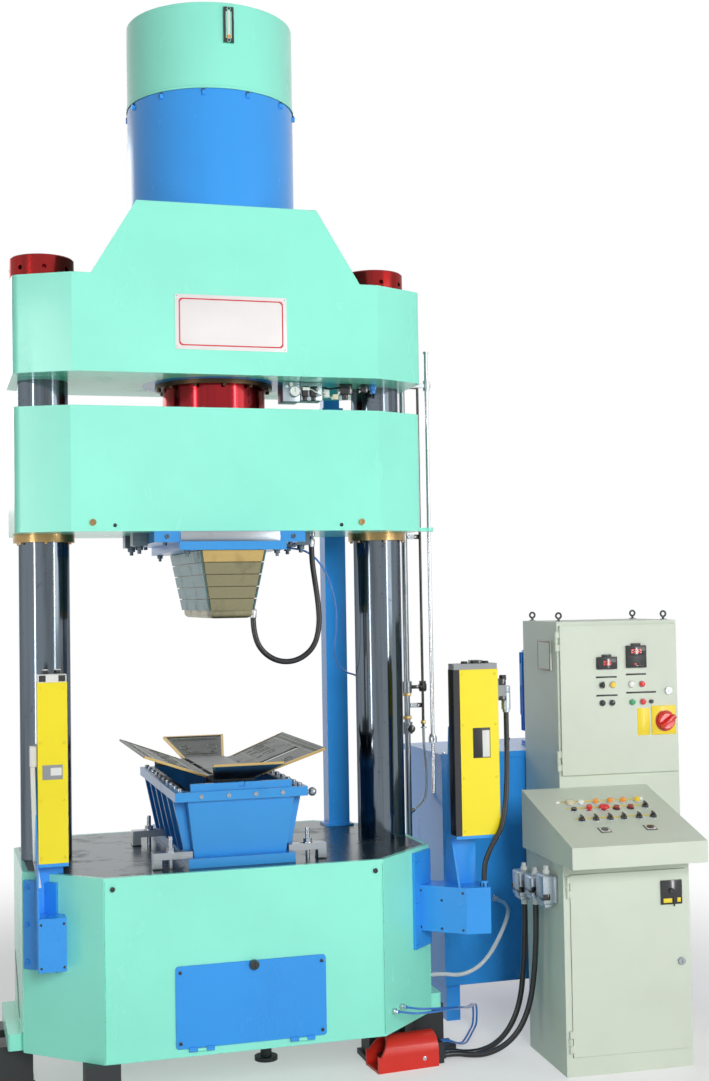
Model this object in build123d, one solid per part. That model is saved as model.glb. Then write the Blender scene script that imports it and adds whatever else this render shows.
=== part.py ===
from build123d import *

import math
import os

# Two-column hydraulic moulding press with its control desk, cabinet and power unit.
# Millimetres. The origin is on the floor under the middle of the press, +Z up, the front towards -Y.

# Driving dimensions
TABLE_TOP = 831.0
BASE_BOTTOM = 190.0
BASE_FRONT_HALF = 510.0
BASE_DEPTH_HALF = 506.0
BASE_END_X = 769.0
BASE_END_HALF = 262.0
WALL = 20.0
COLUMN_X = 662.5
COLUMN_R = 95.0
SPIGOT_R = 75.0
FOOT_SPIGOT_R = 70.0
BARREL_R = 326.0
BARREL_HEIGHT = 447.0
TANK_HEIGHT = 323.0
CROWN_BOTTOM = 2631.0
CROWN_HEIGHT = 362.0
HUMP_HEIGHT = 277.0
CROWN_FRONT_HALF = 582.0
CROWN_DEPTH_HALF = BARREL_R - 1.0
CROWN_END_X = 787.0
CROWN_END_HALF = 220.0
HEAD_BOTTOM = 2048.0
HEAD_HEIGHT = 462.0
HEAD_FRONT_HALF = 588.0
HEAD_DEPTH_HALF = 300.0
HEAD_END_X = 783.0
HEAD_END_HALF = 210.0
RAM_R = 200.0
NUT_R = 121.5
NUT_HEIGHT = 109.0
BEAM_CORNER_R = 35.0
BEAM_WALL = 30.0

# Cylinder, gland, guides and lower column ends
CYLINDER_R = 280.0
PISTON_R = 232.0
GLAND_NECK_R = 220.0
GLAND_R = 230.0
GLAND_THICK = 16.0
RAM_SEAT = 100.0
RAM_RISE = 310.0
PISTON_HEIGHT = 80.0
BUSH_R = 105.0
BUSH_FLANGE_R = 115.0
BUSH_FLANGE = 30.0
FOOT_THREAD_R = 55.0
LOWER_NUT_R = 82.0
LOWER_NUT_HEIGHT = 100.0

# Feet and anchor holes
END_FOOT_X = 790.0
END_FOOT_Y = 110.0
ANCHOR_X = 880.0
ANCHOR_R = 13.0
FOOT_PLATE = 20.0
FOOT_WIDTH = 120.0
FOOT_PLATE_WIDTH = 150.0

# Fits
RUNNING = 0.06
LOOSE = 0.4

# Mould and its folding leaves
MOULD_FLANGE = 34.0
MOULD_HEIGHT = 273.0
RIM_THICK = 34.0
PLATE_HEIGHT = 319.0
SIDE_LEAF_X = 92.0
END_LEAF_Y = 312.0
LEAF_LENGTH = 265.0
LEAF_THICK = 8.0
SIDE_LEAF_TILT = 70.0
END_LEAF_TILT = 74.3
PIN_R = 4.0
KNUCKLE_R = 8.0
EJECTOR_ROD_R = 25.0
EJECTOR_ROD_Y = 150.0

# Guards beside the daylight
GUARD_LOW = 878.0
GUARD_LENGTH = 633.0
LEFT_GUARD = (-722.0, -618.0)
RIGHT_GUARD = (824.0, 1004.0)

# Stroke rod and service pipes on the right
STROKE_ROD_X = 887.0
STROKE_ROD_R = 8.0
STROKE_ROD_Z = (990.0, 2797.0)
ARM_WIDTH = 24.0
ARM_THICK = 16.0
ARM_EYE_R = 18.0
PIPE_Y = 355.0
GREY_PIPE_X = 897.0
GREY_PIPE_R = 13.0
BLACK_PIPE_X = 969.0
BLACK_PIPE_R = 6.0

# Power unit behind the press
UNIT_X = (995.0, 1765.0)
UNIT_Y = (200.0, 700.0)
UNIT_Z = (150.0, 1110.0)
UNIT_WALL = 10.0
MOTOR_X = 1600.0
MOTOR_Y = 450.0
MOTOR_Z = (1240.0, 1540.0)
MOTOR_R = 115.0

# Control desk and cabinet, in their own plan turned slightly towards the press
DESK_ORIGIN = (1176.2, -611.5)
DESK_TURN = -3.32
DESK_WIDTH = 507.0
DESK_DEPTH = 400.0
DESK_SHELF_Z = 785.0
DESK_LIP_Y = -139.0
DESK_LIP_Z = 868.0
DESK_BACK_Z = 1012.0
CABINET_X = (147.0, 667.0)
CABINET_Y = (400.0, 800.0)
CABINET_TOP = 1678.0
CABINET_DOOR_Z = (1062.0, 1662.0)
SHEET = 4.0

# Foot pedal, in its own plan
PEDAL_ORIGIN = (527.0, -345.0)
PEDAL_TURN = 5.0
PEDAL_LENGTH = 250.0
PEDAL_WIDTH = 130.0
PEDAL_HEIGHT = 122.0
PEDAL_STUB = 40.0
PEDAL_CONDUITS = (32.0, 66.0)
PEDAL_CONDUIT_Z = 28.0
PEDAL_TUBES = (88.0, 104.0)
PEDAL_TUBE_Z = 62.0


def block(x_range, y_range, z_range):
    """Box between two limits along each axis."""
    sizes = [high - low for low, high in (x_range, y_range, z_range)]
    middle = [(high + low) / 2 for low, high in (x_range, y_range, z_range)]
    return Pos(*middle) * Box(*sizes)


def around(middle, width):
    """Limits of a width about its middle."""
    return (middle - width / 2, middle + width / 2)


def rod_z(x, y, z_range, radius):
    """Upright cylinder between two heights."""
    return Pos(x, y, sum(z_range) / 2) * Cylinder(radius, z_range[1] - z_range[0])


def rod_x(x_range, y, z, radius):
    """Cylinder along X."""
    return Pos(sum(x_range) / 2, y, z) * Rot(0, 90, 0) * Cylinder(radius, x_range[1] - x_range[0])


def rod_y(x, y_range, z, radius):
    """Cylinder along Y."""
    return Pos(x, sum(y_range) / 2, z) * Rot(90, 0, 0) * Cylinder(radius, y_range[1] - y_range[0])


def plan_prism(points, z_range):
    """Prism over an outline in plan."""
    face = Pos(0, 0, z_range[0]) * make_face(Polyline(*points, close=True))
    return extrude(face, z_range[1] - z_range[0])


def profile_x(points, x_range):
    """Prism along X over an outline in (y, z)."""
    corners = [(x_range[0], y, z) for y, z in points]
    return extrude(make_face(Polyline(*corners, close=True)), x_range[1] - x_range[0], dir=(1, 0, 0))


def profile_y(points, y_range):
    """Prism along Y over an outline in (x, z)."""
    corners = [(x, y_range[0], z) for x, z in points]
    return extrude(make_face(Polyline(*corners, close=True)), y_range[1] - y_range[0], dir=(0, 1, 0))


def eight_sided(front_half, depth_half, end_x, end_half, inset=0.0):
    """Plan of the base, crosshead and crown: a rectangle with chamfered corners, set in evenly."""
    run = math.hypot(end_x - front_half, depth_half - end_half)
    along_x = (end_x - front_half) / run
    along_y = (depth_half - end_half) / run
    front = front_half - inset * (1 - along_x) / along_y
    end = end_half - inset * (1 - along_y) / along_x
    deep = depth_half - inset
    wide = end_x - inset
    right = [(front, -deep), (wide, -end), (wide, end), (front, deep)]
    return right + [(-x, -y) for x, y in right]


def ring_z(x, y, z_range, outer, inner):
    """Upright tube between two heights."""
    return rod_z(x, y, z_range, outer) - rod_z(x, y, z_range, inner)


def bolt_z(x, y, z, radius, up=1):
    """Socket screw head on a level face."""
    low, high = sorted((z, z + up * radius * 1.2))
    head = rod_z(x, y, (low, high), radius)
    socket = rod_z(x, y, around(z + up * radius * 1.3, radius * 1.2), radius * 0.5)
    return head - socket


def bolt_y(x, y, z, radius):
    """Screw head standing towards the front from a face at y."""
    head = rod_y(x, (y - radius * 0.7, y), z, radius)
    return head - rod_y(x, (y - radius * 0.7, y - radius * 0.35), z, radius * 0.5)


def keep(name, *pieces):
    """Write one sub-part: all its pieces as separate solids."""
    solids = []
    for piece in pieces:
        solids.extend(piece.solids())
    export_step(Compound(solids), f"parts/{name}.step")


def hose(name, points, diameter):
    """Free cord as straight runs joined by arcs as large as the runs allow."""
    runs = [math.dist(a, b) for a, b in zip(points, points[1:])]
    radii = []
    for index in range(1, len(points) - 1):
        before = [b - a for a, b in zip(points[index - 1], points[index])]
        after = [b - a for a, b in zip(points[index], points[index + 1])]
        dot = sum(a * b for a, b in zip(before, after)) / (runs[index - 1] * runs[index])
        turn = math.acos(max(-1.0, min(1.0, dot)))
        radii.append(0.45 * min(runs[index - 1], runs[index]) / math.tan(turn / 2))
    route = FilletPolyline(*points, radius=radii)
    start = Plane(origin=route @ 0, z_dir=route % 0)
    tube = sweep(start * Circle(diameter / 2), path=route)
    section = math.pi * (diameter / 2) ** 2
    print(f"{name}: length {route.length:.0f}, volume ratio {tube.volume / section / route.length:.4f}, "
          f"runs {min(runs):.0f} to {max(runs):.0f}, least radius {min(radii) / diameter:.1f} diameters")
    keep(name, tube)
    return tube


CROWN_SHOULDER = CROWN_BOTTOM + CROWN_HEIGHT
CROWN_TOP = CROWN_SHOULDER + HUMP_HEIGHT
BARREL_TOP = CROWN_TOP + BARREL_HEIGHT
TANK_TOP = BARREL_TOP + TANK_HEIGHT
HEAD_TOP = HEAD_BOTTOM + HEAD_HEIGHT
MOULD_TOP = TABLE_TOP + MOULD_HEIGHT
RIM_BOTTOM = MOULD_TOP - RIM_THICK + 1.0
PLATE_TOP = TABLE_TOP + PLATE_HEIGHT
LEAF_AXIS_Z = PLATE_TOP - 13.0
BASE_PLAN = (BASE_FRONT_HALF, BASE_DEPTH_HALF, BASE_END_X, BASE_END_HALF)
CROWN_PLAN = (CROWN_FRONT_HALF, CROWN_DEPTH_HALF, CROWN_END_X, CROWN_END_HALF)
HEAD_PLAN = (HEAD_FRONT_HALF, HEAD_DEPTH_HALF, HEAD_END_X, HEAD_END_HALF)
SIDES = (-1, 1)
TABLE_THICK = 80.0
TABLE_BOTTOM = TABLE_TOP - TABLE_THICK
FLAP_X = (-262.0, 284.0)
FLAP_Z = (220.0, 507.0)
FLAP_HINGE_Y = -BASE_DEPTH_HALF - 9.0
FLAP_HINGE_Z = FLAP_Z[0] - 6.0
KNOB_X = 19.0
KNOB_Z = 494.0
LUG_X = 822.0
LUG_Y = (-233.0, 217.0)
LUG_TOP = 250.0
WEB_X = 480.0
WEB_DOORWAY_Z = 450.0
WEB_DOORWAY = 300.0
FLAP_FRAME = 32.0
FLAP_HINGE_INSET = 90.0
FLAP_KNUCKLE = 30.0
LEDGE = 40.0
HINGE_R = 6.0
HINGE_PIN_R = 3.0


def base_frame():
    """Welded eight-sided box under the table, open at the top, with webs and side lugs."""
    shell = plan_prism(eight_sided(*BASE_PLAN), (BASE_BOTTOM, TABLE_TOP))
    shell -= plan_prism(eight_sided(*BASE_PLAN, WALL), (BASE_BOTTOM + WALL, TABLE_TOP))
    ledge_z = (TABLE_BOTTOM - WALL, TABLE_BOTTOM)
    ledge = plan_prism(eight_sided(*BASE_PLAN, WALL - 1), ledge_z)
    ledge -= plan_prism(eight_sided(*BASE_PLAN, WALL + LEDGE), ledge_z)
    for side in SIDES:
        ledge -= rod_z(side * COLUMN_X, 0, ledge_z, LOWER_NUT_R + 8)
    shell += ledge
    webs = []
    for side in SIDES:
        web = block(around(side * WEB_X, WALL), (WALL - BASE_DEPTH_HALF, BASE_DEPTH_HALF - WALL),
                    (BASE_BOTTOM + WALL, TABLE_BOTTOM - WALL))
        doorway = (around(0, WEB_DOORWAY), around(WEB_DOORWAY_Z, WEB_DOORWAY))
        web -= block(around(side * WEB_X, 2 * WALL), *doorway)
        webs.append(web)
        lug = block(sorted((side * (BASE_END_X - 1), side * LUG_X)), LUG_Y, (BASE_BOTTOM, LUG_TOP))
        lug -= block(sorted((side * (LUG_X - 27), side * (LUG_X + 18))), (-120, -20), (205, 235))
        shell += fillet(lug.edges().filter_by(Axis.Z).group_by(Axis.X)[-1 if side > 0 else 0], 12)
    shell -= block((FLAP_X[0] + FLAP_FRAME, FLAP_X[1] - FLAP_FRAME),
                   (-BASE_DEPTH_HALF - 5, -BASE_DEPTH_HALF + WALL + 5),
                   (FLAP_Z[0] + FLAP_FRAME, FLAP_Z[1] - 40))
    shell -= block((-300, 300), (BASE_DEPTH_HALF - WALL - 5, BASE_DEPTH_HALF + 5), (260, 480))
    for x in (FLAP_X[0] + FLAP_HINGE_INSET, FLAP_X[1] - FLAP_HINGE_INSET):
        span = around(x, FLAP_KNUCKLE)
        barrel = rod_x(span, FLAP_HINGE_Y, FLAP_HINGE_Z, HINGE_R)
        barrel += block(span, (FLAP_HINGE_Y, -BASE_DEPTH_HALF + 1), around(FLAP_HINGE_Z, 4))
        barrel -= rod_x(around(x, 2 * FLAP_KNUCKLE), FLAP_HINGE_Y, FLAP_HINGE_Z, HINGE_PIN_R + RUNNING)
        shell += barrel
    keep("base_frame", shell)
    keep("base_webs", *webs)


def table_plate():
    """Thick plate let into the base, bored for the columns and the ejector rods."""
    plate = plan_prism(eight_sided(*BASE_PLAN, WALL + LOOSE), (TABLE_BOTTOM, TABLE_TOP))
    for side in SIDES:
        plate -= rod_z(side * COLUMN_X, 0, (TABLE_BOTTOM, TABLE_TOP), FOOT_SPIGOT_R + LOOSE)
        plate -= rod_z(0, side * EJECTOR_ROD_Y, (TABLE_BOTTOM, TABLE_TOP), EJECTOR_ROD_R + RUNNING)
    keep("table_plate", plate)


def machine_feet():
    """Cast levelling feet; the four end feet have ears with anchor holes."""
    feet = []
    for side in SIDES:
        for y in (-END_FOOT_Y, END_FOOT_Y):
            x = side * END_FOOT_X
            foot = block(around(x, FOOT_WIDTH), around(y, FOOT_WIDTH), (FOOT_PLATE, BASE_BOTTOM))
            foot += block(around(x, FOOT_PLATE_WIDTH), around(y, FOOT_PLATE_WIDTH), (0, FOOT_PLATE))
            ear_end = side * (ANCHOR_X + 2 * ANCHOR_R + 1)
            foot += block(sorted((x, ear_end)), around(y, 90), (0, FOOT_PLATE))
            foot -= rod_z(side * ANCHOR_X, y, (-1, FOOT_PLATE + 1), ANCHOR_R)
            feet.append(foot)
    corner_x = BASE_FRONT_HALF + 5
    rear_y = BASE_DEPTH_HALF - 66
    for x, y in ((-corner_x, 51 - BASE_DEPTH_HALF), (-corner_x, rear_y), (corner_x, rear_y), (600, -130)):
        foot = block(around(x, FOOT_WIDTH), around(y, FOOT_WIDTH - 10), (FOOT_PLATE, BASE_BOTTOM))
        foot += block(around(x, FOOT_PLATE_WIDTH), around(y, FOOT_PLATE_WIDTH - 20), (0, FOOT_PLATE))
        feet.append(foot)
    feet.append(rod_z(168, -22, (15, BASE_BOTTOM), 22) + rod_z(168, -22, (0, 15), 45))
    keep("machine_feet", *feet)


def columns():
    """Chromed columns, shouldered on the table and under the crown, with a thread at each end."""
    shafts = []
    for side in SIDES:
        column = rod_z(side * COLUMN_X, 0, (TABLE_TOP, CROWN_BOTTOM), COLUMN_R)
        column += rod_z(side * COLUMN_X, 0, (CROWN_BOTTOM - 1, CROWN_SHOULDER + NUT_HEIGHT - 12), SPIGOT_R)
        column += rod_z(side * COLUMN_X, 0, (TABLE_BOTTOM, TABLE_TOP + 1), FOOT_SPIGOT_R)
        thread_z = (TABLE_BOTTOM - LOWER_NUT_HEIGHT - 40, TABLE_BOTTOM + 1)
        column += rod_z(side * COLUMN_X, 0, thread_z, FOOT_THREAD_R)
        shafts.append(column)
    keep("columns", *shafts)


def column_nuts():
    """Round spanner nuts above the crown and under the table."""
    nuts = []
    for side in SIDES:
        x = side * COLUMN_X
        nut = ring_z(x, 0, (CROWN_SHOULDER, CROWN_SHOULDER + NUT_HEIGHT), NUT_R, SPIGOT_R + LOOSE)
        nut = chamfer(nut.edges().group_by(Axis.Z)[-1].sort_by(SortBy.LENGTH)[-1], 5)
        for turn in range(0, 360, 45):
            hole = Pos(x, 0, CROWN_SHOULDER + 60) * Rot(0, 0, turn) * rod_x((NUT_R - 22, NUT_R + 5), 0, 0, 9)
            nut -= hole
        nuts.append(nut)
        lower_z = (TABLE_BOTTOM - LOWER_NUT_HEIGHT, TABLE_BOTTOM)
        nuts.append(ring_z(x, 0, lower_z, LOWER_NUT_R, FOOT_THREAD_R + LOOSE))
    keep("column_nuts", *nuts)


def hollowed(body, x_ranges, z_range, rear):
    """Pockets open to the rear between the ribs of a welded beam."""
    for x_range in x_ranges:
        body -= block(x_range, (BEAM_WALL - rear, rear + 5), z_range)
    return body


def crown():
    """Welded crown beam with its raised middle, bored for the cylinder and the columns."""
    beam = plan_prism(eight_sided(*CROWN_PLAN), (CROWN_BOTTOM, CROWN_SHOULDER))
    corners = beam.edges().filter_by(Axis.Z).filter_by(lambda e: abs(e.center().X) > CROWN_END_X - 5)
    beam = fillet(corners, BEAM_CORNER_R)
    low, high = CROWN_SHOULDER - 1, CROWN_TOP
    foot, crest = CROWN_FRONT_HALF - 70, BARREL_R + 17
    beam += profile_y([(-foot, low), (foot, low), (crest, high), (-crest, high)],
                      (-CROWN_DEPTH_HALF, CROWN_DEPTH_HALF))
    inner, outer = CYLINDER_R + 20, COLUMN_X - SPIGOT_R - 42.5
    pocket_z = (CROWN_BOTTOM + BEAM_WALL, CROWN_SHOULDER - BEAM_WALL)
    beam = hollowed(beam, ((-outer, -inner), (inner, outer)), pocket_z, CROWN_DEPTH_HALF)
    beam -= rod_z(0, 0, (CROWN_BOTTOM - 5, CROWN_TOP + 5), CYLINDER_R + LOOSE)
    for side in SIDES:
        beam -= rod_z(side * COLUMN_X, 0, (CROWN_BOTTOM - 5, CROWN_SHOULDER + 5), SPIGOT_R + LOOSE)
    keep("crown", beam)


def main_cylinder():
    """Cylinder through the crown with its wide barrel on top and a ring of cap screws."""
    body = rod_z(0, 0, (CROWN_BOTTOM, CROWN_TOP + 1), CYLINDER_R)
    body += rod_z(0, 0, (CROWN_TOP, BARREL_TOP), BARREL_R)
    body -= rod_z(0, 0, (CROWN_BOTTOM - 1, CROWN_BOTTOM + 70), GLAND_NECK_R)
    body -= rod_z(0, 0, (CROWN_BOTTOM + 69, BARREL_TOP - 40), PISTON_R)
    screws = []
    for turn in range(15, 375, 30):
        x = (BARREL_R + 1) * math.cos(math.radians(turn))
        y = (BARREL_R + 1) * math.sin(math.radians(turn))
        screw = Pos(x, y, BARREL_TOP - 22) * Rot(0, 90, turn) * Cylinder(11, 14)
        screws.append(screw - rod_z(0, 0, (BARREL_TOP - 60, BARREL_TOP), BARREL_R))
    keep("main_cylinder", body, *screws)


GAUGE_DROP = 87.0
GAUGE_LENGTH = 138.0


def oil_tank():
    """Round header tank over the barrel with a separate lid, filler cap and level gauge."""
    shell = ring_z(0, 0, (BARREL_TOP, TANK_TOP - 12), BARREL_R, BARREL_R - 8)
    shell += rod_z(0, 0, (BARREL_TOP, BARREL_TOP + 8), BARREL_R - 7)
    lid = rod_z(0, 0, (TANK_TOP - 12, TANK_TOP), BARREL_R)
    lid += rod_z(120, 120, (TANK_TOP - 1, TANK_TOP + 30), 55)
    lid += rod_z(120, 120, (TANK_TOP + 29, TANK_TOP + 45), 70)
    front = -BARREL_R
    middle = TANK_TOP - GAUGE_DROP
    plate = block((-9, 30), (front - 10, front + 3), around(middle, GAUGE_LENGTH))
    plate -= block((2, 19), (front - 12, front - 4), around(middle, GAUGE_LENGTH - 40))
    plate -= rod_z(0, 0, around(middle, 2 * GAUGE_LENGTH), BARREL_R)
    glass = block((2.5, 18.5), (front - 9, front - 4), around(middle, GAUGE_LENGTH - 41))
    screws = [bolt_y(10.5, front - 10, middle + side * (GAUGE_LENGTH / 2 - 9), 7) for side in SIDES]
    keep("oil_tank", shell, lid, plate, glass, *screws)


def gland_flange():
    """Gland ring under the crown with its neck in the cylinder's mouth."""
    face = CROWN_BOTTOM - GLAND_THICK
    ring = rod_z(0, 0, (face, CROWN_BOTTOM), GLAND_R)
    ring += rod_z(0, 0, (CROWN_BOTTOM - 1, CROWN_BOTTOM + 68), GLAND_NECK_R - LOOSE)
    ring -= rod_z(0, 0, (face - 4, CROWN_BOTTOM + 70), RAM_R + RUNNING)
    screws = []
    circle = (GLAND_R + RAM_R) / 2 + 1
    for turn in range(0, 360, 30):
        angle = math.radians(turn)
        screws.append(bolt_z(circle * math.cos(angle), circle * math.sin(angle), face, 8, up=-1))
    keep("gland_flange", ring, *screws)


def ram():
    """Main ram: polished shaft seated in the crosshead, with its piston head in the cylinder."""
    piston_top = CROWN_TOP + RAM_RISE
    shaft = rod_z(0, 0, (HEAD_TOP - RAM_SEAT, piston_top - 20), RAM_R)
    shaft += rod_z(0, 0, (piston_top - PISTON_HEIGHT, piston_top), PISTON_R - RUNNING)
    keep("ram", shaft)


def crosshead():
    """Welded moving beam with column bores, a seat for the ram and the stroke rod's arm."""
    beam = plan_prism(eight_sided(*HEAD_PLAN), (HEAD_BOTTOM, HEAD_TOP))
    corners = beam.edges().filter_by(Axis.Z).filter_by(lambda e: abs(e.center().X) > HEAD_END_X - 5)
    beam = fillet(corners, BEAM_CORNER_R)
    inner, outer = RAM_R + 40, COLUMN_X - BUSH_R - 22.5
    pocket_z = (HEAD_BOTTOM + BEAM_WALL, HEAD_TOP - BEAM_WALL)
    beam = hollowed(beam, ((-outer, -inner), (inner, outer)), pocket_z, HEAD_DEPTH_HALF)
    beam -= rod_z(0, 0, (HEAD_TOP - RAM_SEAT, HEAD_TOP + 5), RAM_R + LOOSE)
    for side in SIDES:
        beam -= rod_z(side * COLUMN_X, 0, (HEAD_BOTTOM - 5, HEAD_TOP + 5), BUSH_R)
    level = HEAD_BOTTOM + ARM_THICK
    arm = block((HEAD_END_X - 5, STROKE_ROD_X), around(0, ARM_WIDTH), around(level, ARM_THICK))
    arm += rod_z(STROKE_ROD_X, 0, around(level, ARM_THICK), ARM_EYE_R)
    arm -= rod_z(STROKE_ROD_X, 0, around(level, 2 * ARM_THICK), STROKE_ROD_R + RUNNING)
    keep("crosshead", beam + arm)


def guide_bushes():
    """Flanged bronze bushes in the crosshead's ends, their screws and the two plugs in front."""
    bushes = [bolt_y(x, -HEAD_DEPTH_HALF, HEAD_BOTTOM + 33, 12) for x in (-510, 510)]
    for side in SIDES:
        x = side * COLUMN_X
        face = HEAD_BOTTOM - BUSH_FLANGE
        bush = rod_z(x, 0, (face, HEAD_BOTTOM), BUSH_FLANGE_R)
        bush += rod_z(x, 0, (HEAD_BOTTOM - 1, HEAD_TOP), BUSH_R - LOOSE)
        bush -= rod_z(x, 0, (face - 1, HEAD_TOP + 1), COLUMN_R + RUNNING)
        bushes.append(bush)
        circle = (COLUMN_R + BUSH_FLANGE_R) / 2 + 1
        for turn in range(30, 390, 60):
            angle = math.radians(turn)
            bolt_x = x + circle * math.cos(angle)
            bushes.append(bolt_z(bolt_x, circle * math.sin(angle), face, 6, up=-1))
    keep("guide_bushes", *bushes)


def stroke_rod():
    """Stop rod hanging from an arm on the crown, with a clamped collar for the bottom of the stroke."""
    level = CROWN_BOTTOM + 25
    bracket = block((CROWN_END_X - 3, STROKE_ROD_X), around(0, ARM_WIDTH), around(level, ARM_THICK))
    bracket += rod_z(STROKE_ROD_X, 0, around(level, ARM_THICK), ARM_EYE_R)
    bracket -= rod_z(STROKE_ROD_X, 0, around(level, 40), STROKE_ROD_R + LOOSE)
    bracket -= block((CROWN_END_X - 30, CROWN_END_X), (-30, 30), (CROWN_BOTTOM, CROWN_BOTTOM + 60))
    rod = rod_z(STROKE_ROD_X, 0, STROKE_ROD_Z, STROKE_ROD_R)
    rod += rod_z(STROKE_ROD_X, 0, (CROWN_BOTTOM + 33, CROWN_BOTTOM + 45), 14)
    rod += rod_z(STROKE_ROD_X, 0, (CROWN_BOTTOM + 5, CROWN_BOTTOM + 17), 14)
    rod += rod_z(STROKE_ROD_X, 0, (STROKE_ROD_Z[1] - 8, STROKE_ROD_Z[1]), 12)
    rod += rod_z(STROKE_ROD_X, 0, (1196, 1220), 17)
    keep("stroke_rod", bracket, rod)


def leaf_frame(side, hinge, tilt, along_x):
    """Location of a leaf: origin on its hinge line, X along its length away from the hinge."""
    rise = 90 - tilt
    turn = (0 if side > 0 else 180) if along_x else (90 if side > 0 else -90)
    offset = Pos(side * hinge, 0, LEAF_AXIS_Z) if along_x else Pos(0, side * hinge, LEAF_AXIS_Z)
    return offset * Rot(0, 0, turn) * Rot(0, -rise, 0)


LEAVES = {
    "left_leaf": (-1, SIDE_LEAF_X, SIDE_LEAF_TILT, True, 303, 349, (-195, 0, 195), 160),
    "right_leaf": (1, SIDE_LEAF_X, SIDE_LEAF_TILT, True, 303, 349, (-195, 0, 195), 160),
    "front_leaf": (-1, END_LEAF_Y, END_LEAF_TILT, False, 84, 130, (0,), 110),
    "back_leaf": (1, END_LEAF_Y, END_LEAF_TILT, False, 84, 130, (0,), 110),
}


HOSE_SLOT_X = (26.0, 215.0)
HOSE_SLOT_Y = -100.0
HOSE_SLOT = 40.0


def mould_leaves():
    """Four folding wall leaves with knuckles on the ejector plate's pins and a raised rim."""
    for name, (side, hinge, tilt, along_x, near_half, far_half, knuckles, knuckle_width) in LEAVES.items():
        near = KNUCKLE_R + 3
        outline = [(near, -near_half), (LEAF_LENGTH, -far_half), (LEAF_LENGTH, far_half), (near, near_half)]
        plate = plan_prism(outline, around(0, LEAF_THICK))
        window = plan_prism([(near + 14, 14 - near_half), (LEAF_LENGTH - 12, 12 - far_half),
                             (LEAF_LENGTH - 12, far_half - 12), (near + 14, near_half - 14)],
                            (LEAF_THICK / 2 - 2, LEAF_THICK))
        plate -= window
        if name == "right_leaf":
            plate -= block(HOSE_SLOT_X, around(HOSE_SLOT_Y, HOSE_SLOT), (-LEAF_THICK, LEAF_THICK))
        for middle in knuckles:
            knuckle = rod_y(0, around(middle, knuckle_width), 0, KNUCKLE_R)
            knuckle += block((0, near + 2), around(middle, knuckle_width), around(0, LEAF_THICK))
            plate += knuckle - rod_y(0, around(middle, knuckle_width + 4), 0, PIN_R + RUNNING)
        keep(name, leaf_frame(side, hinge, tilt, along_x) * plate)


EJECTOR_LUGS = (-288.0, -97.5, 97.5, 288.0)


def ejector_plate():
    """Plate that carries the leaves, with hinge lugs and pins, guide rods and a tie bar under the table."""
    plate = block((-78, 78), (-298, 298), (PLATE_TOP - 32, PLATE_TOP))
    for side in SIDES:
        for y in EJECTOR_LUGS:
            lug = block(sorted((side * 77, side * SIDE_LEAF_X)), around(y, 20), around(LEAF_AXIS_Z, 16))
            plate += lug + rod_y(side * SIDE_LEAF_X, around(y, 20), LEAF_AXIS_Z, KNUCKLE_R)
        plate += rod_y(side * SIDE_LEAF_X, (-298, 298), LEAF_AXIS_Z, PIN_R)
        for x in (-66, 66):
            lug = block(around(x, 18), sorted((side * 297, side * END_LEAF_Y)), around(LEAF_AXIS_Z, 16))
            plate += lug + rod_x(around(x, 18), side * END_LEAF_Y, LEAF_AXIS_Z, KNUCKLE_R)
        plate += rod_x((-75, 75), side * END_LEAF_Y, LEAF_AXIS_Z, PIN_R)
        plate += rod_z(0, side * EJECTOR_ROD_Y, (480, PLATE_TOP - 30), EJECTOR_ROD_R)
    plate += block((-35, 35), (-200, 200), (470, 500))
    keep("ejector_plate", plate)


RIM_HALF = 245.0


def mould_box():
    """Fixed mould: base flange, ribbed body, rim flange and the two end bars."""
    low_x, high_x, low_y, high_y = 170, 197, 398, 424
    flange_top = TABLE_TOP + MOULD_FLANGE
    body = loft([Pos(0, 0, flange_top - 1) * Rectangle(2 * low_x, 2 * low_y),
                 Pos(0, 0, RIM_BOTTOM) * Rectangle(2 * high_x, 2 * high_y)])
    hollow = loft([Pos(0, 0, flange_top) * Rectangle(2 * low_x - 24, 2 * low_y - 40),
                   Pos(0, 0, MOULD_TOP) * Rectangle(2 * high_x - 14, 2 * high_y - 20)])
    mould = body + block((-197, 197), (-435, 435), (TABLE_TOP, flange_top))
    mould += block((-RIM_HALF, RIM_HALF), (-443, 443), (MOULD_TOP - RIM_THICK, MOULD_TOP))
    for side in SIDES:
        mould += block((-187, 187), sorted((side * 418, side * 432)), (MOULD_TOP - 1, MOULD_TOP + 27))
        mould -= block((-12, 12), sorted((side * 425, side * 440)), (MOULD_TOP + 10, MOULD_TOP + 30))
        for y in (-350, -210, -70, 70, 210, 350):
            rib = profile_y([(side * 165, flange_top - 4), (side * 196, flange_top - 4),
                             (side * (RIM_HALF - 5), RIM_BOTTOM), (side * 190, RIM_BOTTOM)], around(y, 14))
            mould += rib
    mould -= hollow
    for side in SIDES:
        mould -= rod_z(0, side * EJECTOR_ROD_Y, (TABLE_TOP - 5, TABLE_TOP + 40), EJECTOR_ROD_R + RUNNING)
    keep("mould_box", mould)
    bolts = []
    for x in (-222, 222):
        for y in range(-405, 406, 90):
            bolts.append(bolt_z(x, y, MOULD_TOP, 9))
    for side in SIDES:
        for x in (-150, -50, 50, 150):
            bolt = bolt_y(x, -443, MOULD_TOP - RIM_THICK / 2, 8)
            bolts.append(bolt if side < 0 else mirror(bolt, about=Plane.XZ))
    knob_z = MOULD_TOP - 26
    knob = rod_x((RIM_HALF, RIM_HALF + 17), -400, knob_z, 7) + Pos(RIM_HALF + 27, -400, knob_z) * Sphere(16)
    keep("mould_fasteners", knob, *bolts)


CLAMPS = ((-1, -395), (-1, 140), (1, -385), (1, 140))


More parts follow.
